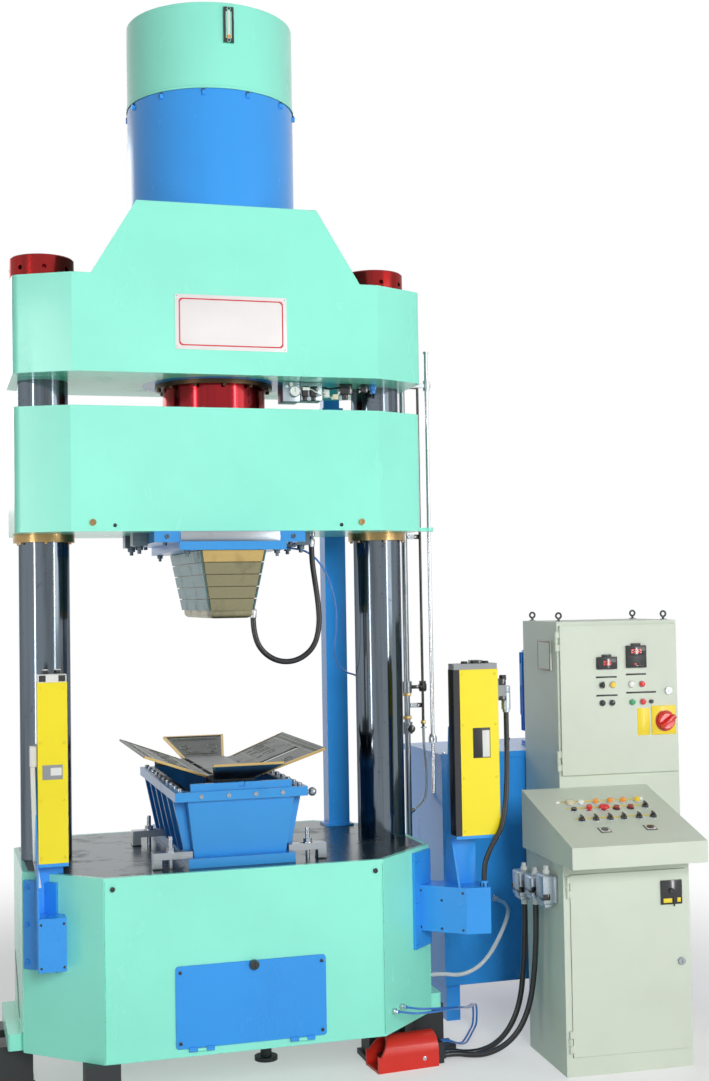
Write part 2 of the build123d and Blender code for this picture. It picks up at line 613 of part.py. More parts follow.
def mould_clamps():
    """Four strap clamps on the mould's base flange: bar, packing leg, stud and nut."""
    pieces = []
    top = TABLE_TOP + MOULD_FLANGE
    for side, y in CLAMPS:
        bar = block(sorted((side * 179, side * 321)), around(y, 46), (top, top + 25))
        bar -= block(sorted((side * 225, side * 275)), around(y, 18), (top - 5, top + 30))
        leg = block(sorted((side * 290, side * 321)), around(y, 46), (TABLE_TOP, top))
        stud = rod_z(side * 255, y, (TABLE_TOP, top + 77), 8)
        nut = Pos(side * 255, y, top + 25) * extrude(RegularPolygon(16, 6), 16)
        nut -= rod_z(side * 255, y, (top, top + 60), 8.2)
        pieces += [bar, leg, stud, nut]
    keep("mould_clamps", *pieces)


HOLDER_TOP = HEAD_BOTTOM
HOLDER_PLATE = HOLDER_TOP - 41.0
PUNCH_TOP = HOLDER_TOP - 72.0
PUNCH_BOTTOM = HOLDER_TOP - 298.0


def punch_holder():
    """Tool frame under the crosshead with the holder plate, clamp blocks and a hose elbow."""
    frame = block((-287, 287), (-300, 300), (HOLDER_PLATE, HOLDER_TOP))
    frame -= block((-190, 190), (-305, -285), around(HOLDER_PLATE + 21, 20))
    frame += block((-201, 201), (-350, 350), (PUNCH_TOP, HOLDER_PLATE + 1))
    keep("punch_holder", frame)
    fittings = []
    for side in SIDES:
        for y in (-110, 110):
            clamp = block(sorted((side * 288, side * 345)), around(y, 70), (HOLDER_PLATE - 7, HOLDER_TOP))
            fittings.append(clamp)
            fittings.append(bolt_z(side * 316, y, HOLDER_PLATE - 7, 13, up=-1))
    for x in (-170, 170):
        for y in (-325, 325):
            fittings.append(bolt_z(x, y, PUNCH_TOP, 10, up=-1))
    elbow_z = HOLDER_TOP - 56
    elbow = block((201.3, 232), around(-30, 24), around(elbow_z, 24)) + rod_x((230, 250), -30, elbow_z, 5)
    fittings.append(elbow)
    nipple = rod_z(362, -100, (HOLDER_TOP - 26, HOLDER_TOP), 9)
    fittings.append(nipple + rod_z(362, -100, (HOLDER_TOP - 12, HOLDER_TOP), 14))
    keep("holder_fittings", *fittings)


def punch():
    """Tapered punch built up in five bands, with a rounded nose plate and the hose fitting."""
    slabs = 5
    height = (PUNCH_TOP - PUNCH_BOTTOM) / slabs
    solid = None
    for index in range(slabs):
        low = PUNCH_BOTTOM + index * height
        sections = []
        for z in (low, low + height):
            share = (z - PUNCH_BOTTOM) / (PUNCH_TOP - PUNCH_BOTTOM)
            sections.append(Pos(0, 0, z) * Rectangle(2 * (80 + 40 * share) - 4, 2 * (293 + 45 * share) - 4))
        slab = loft(sections)
        low_share = (low - PUNCH_BOTTOM) / (PUNCH_TOP - PUNCH_BOTTOM)
        wide, deep = 2 * (80 + 40 * low_share), 2 * (293 + 45 * low_share)
        band = loft([Pos(0, 0, low + 3) * Rectangle(wide, deep),
                     Pos(0, 0, low + height - 3) * Rectangle(wide + 12, deep + 14)])
        solid = slab + band if solid is None else solid + slab + band
    nose = block((-78, 78), (-290, 290), (PUNCH_BOTTOM - 28, PUNCH_BOTTOM))
    nose = fillet(nose.edges().group_by(Axis.Z)[0], 18)
    solid += nose
    solid += rod_x((70, 124), -100, PUNCH_BOTTOM - 2, 7)
    solid += rod_z(124, -100, (PUNCH_BOTTOM - 28, PUNCH_BOTTOM + 5), 10)
    keep("punch", solid)


def rear_duct():
    """Cable duct behind the right column, standing on the table, with its foot and top brackets."""
    duct = block((530, 620), (318, 400), (TABLE_TOP + 8, CROWN_BOTTOM - 31))
    foot = block((515, 635), (308, 412), (TABLE_TOP, TABLE_TOP + 8))
    foot -= block((531, 619), (319, 399), (TABLE_TOP, TABLE_TOP + 9))
    strap = block((540, 610), (340, 395), (CROWN_BOTTOM - 32, CROWN_BOTTOM + 12))
    strap -= plan_prism(eight_sided(*CROWN_PLAN), (CROWN_BOTTOM, CROWN_SHOULDER))
    keep("rear_duct", duct + foot + strap)


def pressure_pipes():
    """Two pipes up the right side to the crown, their valves, and the valve block under the crown."""
    grey = rod_z(GREY_PIPE_X, PIPE_Y, (760, 2757), GREY_PIPE_R)
    grey += Pos(GREY_PIPE_X, PIPE_Y, 2757) * Sphere(GREY_PIPE_R)
    grey += rod_x((560, GREY_PIPE_X), PIPE_Y, 2757, GREY_PIPE_R)
    grey += Pos(560, PIPE_Y, 2757) * Sphere(GREY_PIPE_R)
    grey += rod_y(560, (CROWN_DEPTH_HALF, PIPE_Y), 2757, GREY_PIPE_R)
    grey += Pos(GREY_PIPE_X, PIPE_Y, 760) * Sphere(GREY_PIPE_R)
    grey += rod_x((700, GREY_PIPE_X), PIPE_Y, 760, GREY_PIPE_R)
    black = rod_z(BLACK_PIPE_X, PIPE_Y, (1225, 2700), BLACK_PIPE_R)
    black += Pos(BLACK_PIPE_X, PIPE_Y, 2700) * Sphere(BLACK_PIPE_R)
    black += rod_x((520, BLACK_PIPE_X), PIPE_Y, 2700, BLACK_PIPE_R)
    black += Pos(520, PIPE_Y, 2700) * Sphere(BLACK_PIPE_R)
    black += rod_y(520, (CROWN_DEPTH_HALF, PIPE_Y), 2700, BLACK_PIPE_R)
    clips = []
    for z in (1320, 2050, 2560):
        clips.append(block((GREY_PIPE_X - 5, BLACK_PIPE_X + 5), (PIPE_Y + 5, PIPE_Y + 17), around(z, 20)))
    tee = Pos(GREY_PIPE_X, PIPE_Y, 861) * Rot(0, 60, 0) * Pos(0, 0, 14) * Cylinder(9, 28)
    pipes = grey + tee + black + clips[0] + clips[1] + clips[2]
    grip = GREY_PIPE_R + LOOSE
    lower = rod_z(GREY_PIPE_X, PIPE_Y, (1200, 1250), 22)
    lower += rod_y(GREY_PIPE_X, (PIPE_Y - 45, PIPE_Y), 1225, 9)
    upper = rod_z(GREY_PIPE_X, PIPE_Y, (1375, 1425), 22)
    upper += rod_x((GREY_PIPE_X - 55, GREY_PIPE_X), PIPE_Y, 1400, 10)
    valves = [valve - rod_z(GREY_PIPE_X, PIPE_Y, (1100, 1500), grip) for valve in (lower, upper)]
    union = rod_z(BLACK_PIPE_X, PIPE_Y, (1380, 1425), 15)
    union -= rod_z(BLACK_PIPE_X, PIPE_Y, (1100, 1500), BLACK_PIPE_R + LOOSE)
    keep("pressure_pipes", pipes, *valves, union)


def crown_valves():
    """Valve block under the crown with its gauge and two sensors."""
    block_body = block((232, 393), (-200, -110), (2552, CROWN_BOTTOM))
    block_body -= rod_z(0, 0, (2500, 2700), 240)
    gauge = rod_y(300, (-222, -198), 2590, 22)
    sensor = block((470, 520), (-175, -125), (2590, CROWN_BOTTOM)) + rod_z(495, -150, (2570, 2592), 12)
    second = block((556, 585), (-170, -130), (2600, CROWN_BOTTOM))
    return [block_body + gauge, sensor, second]


def power_unit():
    """Oil tank with its motor and pump, standing on channel feet behind the press."""
    (x0, x1), (y0, y1), (z0, z1) = UNIT_X, UNIT_Y, UNIT_Z
    tank = block(UNIT_X, UNIT_Y, UNIT_Z)
    tank -= block((x0 + UNIT_WALL, x1 - UNIT_WALL), (y0 + UNIT_WALL, y1 - UNIT_WALL),
                  (z0 + UNIT_WALL, z1 + 1))
    for x in (x0 + 40, x1 - 40):
        tank += block(around(x, 60), (y0 + 20, y1 - 20), (0, z0 + 1))
    lid_top = z1 + 12
    lid = block((x0 - 5, x1 + 5), (y0 - 5, y1 + 5), (z1 - 14, lid_top))
    lid -= block(UNIT_X, UNIT_Y, (z1 - 20, z1))
    low, high = MOTOR_Z
    motor = rod_z(MOTOR_X, MOTOR_Y, MOTOR_Z, MOTOR_R)
    motor += rod_z(MOTOR_X, MOTOR_Y, (high, high + 50), MOTOR_R - 10)
    motor += rod_z(MOTOR_X, MOTOR_Y, (lid_top, low + 1), MOTOR_R - 35)
    motor += rod_z(MOTOR_X, MOTOR_Y, (lid_top, lid_top + 15), MOTOR_R + 10)
    motor += block((MOTOR_X - MOTOR_R - 5, MOTOR_X - 80), around(MOTOR_Y, 80), (high - 160, high - 60))
    rib = block((MOTOR_R - 3, MOTOR_R + 12), (-3, 3), around(0, high - low - 20))
    for turn in range(0, 360, 20):
        motor += Pos(MOTOR_X, MOTOR_Y, (low + high) / 2) * Rot(0, 0, turn) * rib
    keep("power_unit", tank, lid, motor)


POST_TOP = 1290.0


def guard_brackets():
    """Welded brackets that carry the two light-curtain housings from the base's chamfers."""
    plan_x = BASE_END_X - BASE_FRONT_HALF
    plan_y = BASE_DEPTH_HALF - BASE_END_HALF
    run = math.hypot(plan_x, plan_y)
    angle = math.degrees(math.atan2(plan_y, plan_x))
    for side, name in ((-1, "left_guard_bracket"), (1, "right_guard_bracket")):
        on_chamfer = Pos(side * BASE_FRONT_HALF, -BASE_DEPTH_HALF, 0) * Rot(0, 0, side * angle)
        near, far = (0.55 * run, 0.96 * run) if side < 0 else (0.62 * run, 0.98 * run)
        plate_z = (491, 804) if side < 0 else (455, 817)
        plate = on_chamfer * block(sorted((side * near, side * far)), (-12, 0), plate_z)
        if side < 0:
            arm_plan = [(-728, -452), (-631, -452), (-631, -386), (-668, -350), (-728, -302)]
            arm = plan_prism(arm_plan, (511, 691))
            back = block((-728, -631), (-345, -333), (690, POST_TOP))
            floor = block((-728, -631), (-452, -333), (690, 696))
            web = profile_x([(-452, 690), (-333, 690), (-333, POST_TOP), (-345, POST_TOP)], (-729, -723))
            seat = block(LEFT_GUARD, (-412, -340), (GUARD_LOW - 12, GUARD_LOW))
            bracket = arm + back + floor + web + seat
        else:
            arm_plan = [(700, -327), (849, -458), (942, -472), (942, -350), (772, -262)]
            arm = plan_prism(arm_plan, (520, 692))
            bracket = arm + block((826, 924), (-366, -354), (690, POST_TOP))
            bracket += profile_x([(-440, 691), (-355, 691), (-355, 868), (-366, 868)], (826, 834))
            bracket += profile_x([(-355, 691), (-290, 691), (-355, POST_TOP)], (826, 834))
            bracket += block(RIGHT_GUARD, (-432, -354), (870, 882))
            bracket += rod_z(925, -450, (691, 716), 15)
        body = plan_prism(eight_sided(*BASE_PLAN), (BASE_BOTTOM, TABLE_TOP))
        bracket = (bracket + plate) - body
        bolts = []
        for z in (plate_z[0] + 25, sum(plate_z) / 2, plate_z[1] - 25):
            spot = side * (far - 16) if side < 0 else side * (near + 14)
            bolts.append(on_chamfer * bolt_y(spot, -12, z, 9))
        keep(name, bracket, *bolts)


def light_curtains():
    """Upright light-curtain housings: body, dark sensor strip, cap with glands, screws."""
    low, high = GUARD_LOW, GUARD_LOW + GUARD_LENGTH
    x0, x1 = LEFT_GUARD
    body = block((x0, x1), (-412, -348), (low, high))
    window = block((x1 - 0.5, x1 + 4), (-402, -358), (low + 25, high - 25))
    glands = [rod_z(x, -380, (1539, 1556), 11) for x in (x0 + 30, x1 - 30)]
    cap = block((x0 + 2, x1 - 2), (-410, -350), (high, 1539)) + glands[0] + glands[1]
    screws = []
    for z in (low + 20, low + 220, low + 420, high - 20):
        screws += [bolt_y(x, -412, z, 5) for x in (x0 + 12, x1 - 12)]
    keep("left_light_curtain", body + window, *screws)
    caps = [cap]
    x0, x1 = RIGHT_GUARD
    body = block((x0 + 24, x1), (-432, -368), (882, 1510))
    window = block((x0, x0 + 24), (-430, -370), (882, 1510))
    caps.append(block((x0 + 2, x1 - 2), (-430, -370), (1510, 1532)))
    screws = []
    for z in (900, 1100, 1300, 1492):
        screws += [bolt_y(x, -432, z, 5) for x in (x0 + 36, x1 - 12)]
    keep("right_light_curtain", body, window, *screws)
    socket = block((x1, 1036), (-424, -376), (1392, 1465)) + rod_z(1048, -400, (1352, 1440), 17)
    socket += block((1030, 1050), (-410, -390), (1400, 1440))
    socket += rod_z(1048, -400, (1341, 1353), 13)
    keep("curtain_caps", socket, *caps)


def access_flap():
    """Cover on the base's front, hinged along its lower edge, with a turning knob."""
    flap = block(FLAP_X, (-BASE_DEPTH_HALF - 6, -BASE_DEPTH_HALF - 0.8), FLAP_Z)
    flap = fillet(flap.edges().filter_by(Axis.Y), 12)
    gap = FLAP_KNUCKLE + 1
    width = (3 * FLAP_KNUCKLE - gap) / 2 - 0.5
    for x in (FLAP_X[0] + FLAP_HINGE_INSET, FLAP_X[1] - FLAP_HINGE_INSET):
        pieces = rod_x(around(x, 3 * FLAP_KNUCKLE), FLAP_HINGE_Y, FLAP_HINGE_Z, HINGE_R)
        pieces -= rod_x(around(x, gap), FLAP_HINGE_Y, FLAP_HINGE_Z, HINGE_R)
        for side in SIDES:
            pieces += block(around(x + side * (gap + width + 1) / 2, width),
                            (FLAP_HINGE_Y - 2, FLAP_HINGE_Y + 6), (FLAP_HINGE_Z, FLAP_Z[0] + 4))
        flap += pieces + rod_x(around(x, 3 * FLAP_KNUCKLE), FLAP_HINGE_Y, FLAP_HINGE_Z, HINGE_PIN_R)
    flap -= rod_y(KNOB_X, (-BASE_DEPTH_HALF - 10, -BASE_DEPTH_HALF), KNOB_Z, 6 + RUNNING)
    keep("access_flap", flap)
    knob = rod_y(KNOB_X, (-BASE_DEPTH_HALF - 24, -BASE_DEPTH_HALF - 6.4), KNOB_Z, 17)
    knob = fillet(knob.edges().group_by(Axis.Y)[0], 3)
    knob -= block(around(KNOB_X, 4), (-BASE_DEPTH_HALF - 30, -BASE_DEPTH_HALF - 21), around(KNOB_Z, 24))
    knob += rod_y(KNOB_X, (-BASE_DEPTH_HALF - 7, -BASE_DEPTH_HALF - 0.8), KNOB_Z, 6)
    keep("flap_knob", knob)


DESK = Pos(*DESK_ORIGIN, 0) * Rot(0, 0, DESK_TURN)
SLOPE = math.degrees(math.atan2(DESK_BACK_Z - DESK_LIP_Z, DESK_DEPTH - DESK_LIP_Y))
ON_PANEL = DESK * Pos(0, DESK_LIP_Y, DESK_LIP_Z) * Rot(SLOPE, 0, 0)


DESK_DOOR_X = (25.0, 490.0)
DESK_DOOR_Z = (70.0, 745.0)
DESK_HINGE = (16.0, -6.6)
DESK_HINGE_Z = (130, 700)
DESK_LOCK = (465, 399)
LOCK_R = 14
LOCK_STEM_R = 8


def on_panel(x, y):
    """Place on the sloping panel, y measured in plan from the pedestal's front."""
    return ON_PANEL * Pos(x, (y - DESK_LIP_Y) / math.cos(math.radians(SLOPE)), 0)


def console():
    """Pedestal with its sloping desk and a full-height door in front."""
    body = block((0, DESK_WIDTH), (0, DESK_DEPTH), (0, DESK_SHELF_Z))
    body -= block((SHEET, DESK_WIDTH - SHEET), (SHEET, DESK_DEPTH - SHEET), (SHEET, DESK_SHELF_Z + 1))
    x_low, x_high = DESK_DOOR_X
    z_low, z_high = DESK_DOOR_Z
    body -= block(DESK_DOOR_X, (-1, SHEET + 1), DESK_DOOR_Z)
    lip = DESK_SHELF_Z + 3
    outer = [(DESK_LIP_Y, lip), (DESK_LIP_Y, DESK_LIP_Z), (DESK_DEPTH, DESK_BACK_Z),
             (DESK_DEPTH, DESK_SHELF_Z), (0, DESK_SHELF_Z), (0, lip)]
    inner = [(DESK_LIP_Y + SHEET, lip + SHEET), (DESK_LIP_Y + SHEET, DESK_LIP_Z - SHEET),
             (DESK_DEPTH - SHEET, DESK_BACK_Z - SHEET), (DESK_DEPTH - SHEET, DESK_SHELF_Z - 1),
             (SHEET, DESK_SHELF_Z - 1), (SHEET, lip + SHEET)]
    body += profile_x(outer, (-15, 520)) - profile_x(inner, (SHEET, DESK_WIDTH - SHEET))
    for z in DESK_HINGE_Z:
        hinge = rod_z(*DESK_HINGE, around(z, 24), HINGE_R)
        hinge += block((8, DESK_HINGE[0]), (DESK_HINGE[1], 1), around(z, 24))
        body += hinge - rod_z(*DESK_HINGE, around(z, 40), HINGE_PIN_R + RUNNING)
    keep("console_body", panel_bores(DESK * body))
    door = block((x_low + 1, x_high - 1), (-SHEET - 0.6, -0.6), (z_low + 1, z_high - 1))
    door += block((x_low + 15, x_high - 15), (-0.7, 14), (z_low + 20, z_low + 24))
    for z in DESK_HINGE_Z:
        leaf = rod_z(*DESK_HINGE, around(z, 80), HINGE_R) - rod_z(*DESK_HINGE, around(z, 26), HINGE_R)
        for end in SIDES:
            leaf += block((DESK_HINGE[0], 40), (-8, -4.2), around(z + end * 26.5, 27))
        door += leaf + rod_z(*DESK_HINGE, around(z, 80), HINGE_PIN_R)
    lock_x, lock_z = DESK_LOCK
    door -= rod_y(lock_x, (-20, 5), lock_z, LOCK_STEM_R + RUNNING)
    plate = block((385, 473), (-9, -4.6), (613, 704))
    keep("console_door", DESK * door, DESK * plate)
    lock = rod_y(lock_x, (-16, -5), lock_z, LOCK_R) + rod_y(lock_x, (-6, -0.6), lock_z, LOCK_STEM_R)
    lock -= block(around(lock_x, 3), (-17, -13), around(lock_z, LOCK_R))
    keep("console_lock", DESK * lock)


PANEL_ROWS = (
    (240, (126, 172, 233, 293, 348, 408)),
    (172, (118, 178, 240, 294, 353, 415)),
    (84, (113, 170, 228, 284, 347, 405)),
)
MOVING_KEYS = {"start_button": (178, 172), "emergency_button": (240, 172)}
SELECTORS = {"left_selector": (113, 84), "right_selector": (347, 84)}


KEY_STEM_R = 6.0
STANDING = (Align.CENTER, Align.CENTER, Align.MIN)


def push_stem(x, y, head_radius, head_low, head_high):
    """A push control with its stem in the panel's bore."""
    stem = Cylinder(KEY_STEM_R, head_low + 12, align=STANDING)
    head = Pos(0, 0, head_low) * Cylinder(head_radius, head_high - head_low, align=STANDING)
    return on_panel(x, y) * (Pos(0, 0, -9) * stem + head)


def desk_controls():
    """Bezels, lamps and keys on the panel; the working ones are parts of their own."""
    fixed = []
    bezels = []
    moving = dict(MOVING_KEYS)
    moving.update(SELECTORS)
    for y, places in PANEL_ROWS:
        for x in places:
            bezel = Cylinder(15, 4, align=STANDING)
            if (x, y) in moving.values():
                bezel -= Pos(0, 0, -1) * Cylinder(KEY_STEM_R + RUNNING, 6, align=STANDING)
            else:
                lamp = Cylinder(11, 14, align=STANDING)
                fixed.append(on_panel(x, y) * Pos(0, 0, 4) * lamp)
            bezels.append(on_panel(x, y) * bezel)
    for x in (168, 352):
        plate = Pos(0, 0, 1.5) * Box(44, 44, 3)
        dome = Pos(0, 0, 3) * Cylinder(15, 5, align=STANDING)
        bezels.append(on_panel(x, -5) * (plate + dome))
    keep("desk_controls", *bezels, *fixed)
    for name, (x, y) in MOVING_KEYS.items():
        radius = 21 if name == "emergency_button" else 12
        keep(name, push_stem(x, y, radius, 10, 24))
    for name, (x, y) in SELECTORS.items():
        knob = Pos(0, 0, -9) * Cylinder(KEY_STEM_R, 14, align=STANDING)
        knob += Pos(0, 0, 4.4) * Cylinder(13, 8, align=STANDING)
        knob += Pos(0, 3, 17) * Box(8, 30, 12)
        keep(name, on_panel(x, y) * knob)


def panel_bores(body):
    """Bores through the panel for the stems of the working controls."""
    for x, y in list(MOVING_KEYS.values()) + list(SELECTORS.values()):
        body -= on_panel(x, y) * Pos(0, 0, -20) * Cylinder(KEY_STEM_R + RUNNING, 40)
    return body


CABINET_HINGE_Z = (1120, 1600)
CABINET_LOCK = (618, 1390)
MAIN_SWITCH = (602, 1268)
SWITCH_R = 38
SWITCH_STEM_R = 10
KEY_ROWS = ((1420, (331, 378, 459, 505)), (1348, (331, 373, 461, 507, 542)))


def cabinet():
    """Floor-standing control cabinet behind the desk, with its door above the desk."""
    x0, x1 = CABINET_X
    y0, y1 = CABINET_Y
    body = block(CABINET_X, CABINET_Y, (0, CABINET_TOP))
    body -= block((x0 + SHEET, x1 - SHEET), (y0 + SHEET, y1 - SHEET), (SHEET, CABINET_TOP - SHEET))
    door_low, door_high = CABINET_DOOR_Z
    body -= block((x0 + 18, x1 - 18), (y0 - 1, y0 + SHEET + 1), (door_low + 14, door_high - 14))
    hinge_x, hinge_y = x0 - 5, y0 - 7
    for z in CABINET_HINGE_Z:
        hinge = rod_z(hinge_x, hinge_y, around(z, 24), HINGE_R)
        hinge += block((hinge_x, x0 + 4), (hinge_y, y0 + 1), around(z, 24))
        body += hinge - rod_z(hinge_x, hinge_y, around(z, 40), HINGE_PIN_R + RUNNING)
    body += block((x0 - 9, x0 + 1), (y0 + 60, y0 + 200), (1480, 1600))
    eyes = []
    for x in (x0 + 22, x1 - 40):
        for y in (y0 + 30, y1 - 60):
            eye = Pos(x, y, CABINET_TOP + 25) * Rot(90, 0, 20) * Torus(11, 4)
            eye += rod_z(x, y, (CABINET_TOP, CABINET_TOP + 5), 11)
            eye += rod_z(x, y, (CABINET_TOP + 4, CABINET_TOP + 13), 5)
            eyes.append(DESK * eye)
    keep("cabinet_body", DESK * body, *eyes)
    door = block((x0 + 8, x1 - 8), (y0 - 16, y0 - 0.8), CABINET_DOOR_Z)
    door -= block((x0 + 12, x1 - 12), (y0 - 12, y0), (door_low + 4, door_high - 4))
    for z in CABINET_HINGE_Z:
        leaf = rod_z(hinge_x, hinge_y, around(z, 80), HINGE_R)
        leaf -= rod_z(hinge_x, hinge_y, around(z, 26), HINGE_R)
        for end in SIDES:
            leaf += block((hinge_x, x0 + 9), (y0 - 10, y0 - 4), around(z + end * 26.5, 27))
        door += leaf + rod_z(hinge_x, hinge_y, around(z, 80), HINGE_PIN_R)
    lock_x, lock_z = CABINET_LOCK
    switch_x, switch_z = MAIN_SWITCH
    door -= rod_y(switch_x, (y0 - 30, y0 + 5), switch_z, SWITCH_STEM_R + RUNNING)
    door -= rod_y(lock_x, (y0 - 30, y0 + 5), lock_z, LOCK_STEM_R + RUNNING)
    keep("cabinet_door", DESK * door)
    lock = rod_y(lock_x, (y0 - 28, y0 - 16.4), lock_z, LOCK_R)
    lock += rod_y(lock_x, (y0 - 17, y0 - 8), lock_z, LOCK_STEM_R)
    lock -= block(around(lock_x, 3), (y0 - 29, y0 - 25), around(lock_z, LOCK_R))
    keep("cabinet_lock", DESK * lock)
    handle = rod_y(switch_x, (y0 - 44, y0 - 20.4), switch_z, SWITCH_R)
    handle += rod_y(switch_x, (y0 - 21, y0 - 8), switch_z, SWITCH_STEM_R)
    handle += block(around(switch_x, 18), (y0 - 62, y0 - 43), around(switch_z, 74))
    keep("main_switch_handle", DESK * handle)
    front = y0 - 16
    plate = block((544, 650), (front - 4, front), (1212, 1330))
    plate -= rod_y(switch_x, (front - 14, y0), switch_z, SWITCH_STEM_R + 2)
    meter_y = (front - 12, front)
    meters = [block((308, 396), meter_y, (1484, 1534)), block((436, 524), meter_y, (1487, 1577))]
    keys = []
    for z, places in KEY_ROWS:
        for x in places:
            keys.append(rod_y(x, (y0 - 30, y0 - 16), z, 13 if x < 520 else 8))
    keep("cabinet_instruments", *[DESK * piece for piece in [plate] + meters + keys])


def on_front_chamfer(x):
    """Point in plan on the base's right front chamfer, and the chamfer's outward turn in degrees."""
    share = (x - BASE_FRONT_HALF) / (BASE_END_X - BASE_FRONT_HALF)
    y = -BASE_DEPTH_HALF + share * (BASE_DEPTH_HALF - BASE_END_HALF)
    rise = math.degrees(math.atan2(BASE_DEPTH_HALF - BASE_END_HALF, BASE_END_X - BASE_FRONT_HALF))
    return x, y, rise


HOODS = (
    (-70, (291, 377), (599, 708)),
    (-62, (175, 261), (620, 709)),
    (-56, (60, 146), (613, 735)),
)


def hose_fittings():
    """Connector hoods on the pedestal's left side, the hose fittings of the press and the crown's valves."""
    hoods = []
    for x, y_range, z_range in HOODS:
        hood = block((x, 0), y_range, z_range)
        hood = fillet(hood.edges().filter_by(Axis.Z).group_by(Axis.X)[0], 10)
        middle = sum(y_range) / 2
        hoods.append(hood + rod_z(x / 2, middle, (z_range[1] - 1, z_range[1] + 16), 14))
        hoods.append(rod_z(x / 2, middle, (z_range[1] + 16, z_range[1] + 30), 9))
    hoods.append(rod_z(-35, 334, (577, 599), 13))
    hoods.append(rod_z(-31, 218, (598, 620), 13))
    fittings = [DESK * hood for hood in hoods]
    for x, z in TUBE_STARTS:
        plan_x, plan_y, turn = on_front_chamfer(x)
        stub = rod_y(0, (-TUBE_STUB, 0), 0, 7) + rod_y(0, (-14, 0), 0, 10)
        fittings.append(Pos(plan_x, plan_y, z) * Rot(0, 0, turn) * stub)
    fittings.append(rod_x((BASE_END_X, 805), -150, 300, 12))
    fittings.append(rod_y(1220, (172, 200), 505, 12))
    keep("hose_fittings", *fittings, *crown_valves())


TUBE_STARTS = ((548, 268), (590, 270))
TUBE_STUB = 26.0
PEDAL = Pos(*PEDAL_ORIGIN, 0) * Rot(0, 0, PEDAL_TURN)


def foot_pedal():
    """Foot switch under an arched hood with its mouth to the left."""
    half = PEDAL_WIDTH / 2
    straight = PEDAL_HEIGHT - half
    outer = block((0, PEDAL_LENGTH), (0, PEDAL_WIDTH), (0, straight))
    outer += rod_x((0, PEDAL_LENGTH), half, straight, half)
    inner = block((-5, 205), (8, PEDAL_WIDTH - 8), (10, straight))
    inner += rod_x((-5, 205), half, straight, half - 8)
    outer &= block((0, PEDAL_LENGTH), (0, PEDAL_WIDTH), (0, PEDAL_HEIGHT))
    inner &= block((-5, 205), (0, PEDAL_WIDTH), (10, PEDAL_HEIGHT))
    hood = outer - inner
    mouth = Pos(0, half, 120) * Rot(0, 35, 0) * Box(90, 200, 90)
    hood -= block((-20, 60), (-5, PEDAL_WIDTH + 5), (0, 200)) & mouth
    pin = rod_y(190, (9, PEDAL_WIDTH - 9), 36, 4)
    treadle = profile_y([(40, 42), (44, 36), (185, 30), (190, 44), (180, 46)], (14, PEDAL_WIDTH - 14))
    treadle += rod_y(190, (14, PEDAL_WIDTH - 14), 36, 9)
    treadle -= rod_y(190, (8, PEDAL_WIDTH - 8), 36, 4 + RUNNING)
    keep("foot_treadle", PEDAL * treadle)
    box = block((PEDAL_LENGTH, PEDAL_LENGTH + 26), (10, PEDAL_WIDTH - 10), (5, 84))
    for y in PEDAL_CONDUITS:
        box += rod_x((PEDAL_LENGTH + 25, PEDAL_LENGTH + PEDAL_STUB), y, PEDAL_CONDUIT_Z, 14)
    for y in PEDAL_TUBES:
        box += rod_x((PEDAL_LENGTH + 25, PEDAL_LENGTH + PEDAL_STUB), y, PEDAL_TUBE_Z, 6)
    keep("pedal_hood", PEDAL * hood, PEDAL * pin, PEDAL * box)


def desk_point(x, y, z):
    """Point of the desk's own plan, in the part frame."""
    place = (DESK * Pos(x, y, z)).position
    return (round(place.X, 2), round(place.Y, 2), z)


def pedal_point(x, y, z):
    """Point of the pedal's own plan, in the part frame."""
    place = (PEDAL * Pos(x, y, z)).position
    return (round(place.X, 2), round(place.Y, 2), z)


def stub_point(x, z, out):
    """Point at a distance from the base's right front chamfer along its normal."""
    plan_x, plan_y, turn = on_front_chamfer(x)
    place = (Pos(plan_x, plan_y, z) * Rot(0, 0, turn) * Pos(0, -out, 0)).position
    return (round(place.X, 2), round(place.Y, 2), z)


def pedal_end(lane, height, run):
    """Last two points of a cord that enters the pedal's rear box."""
    end = PEDAL_LENGTH + PEDAL_STUB
    return [pedal_point(end + run, lane, height), pedal_point(end, lane, height)]


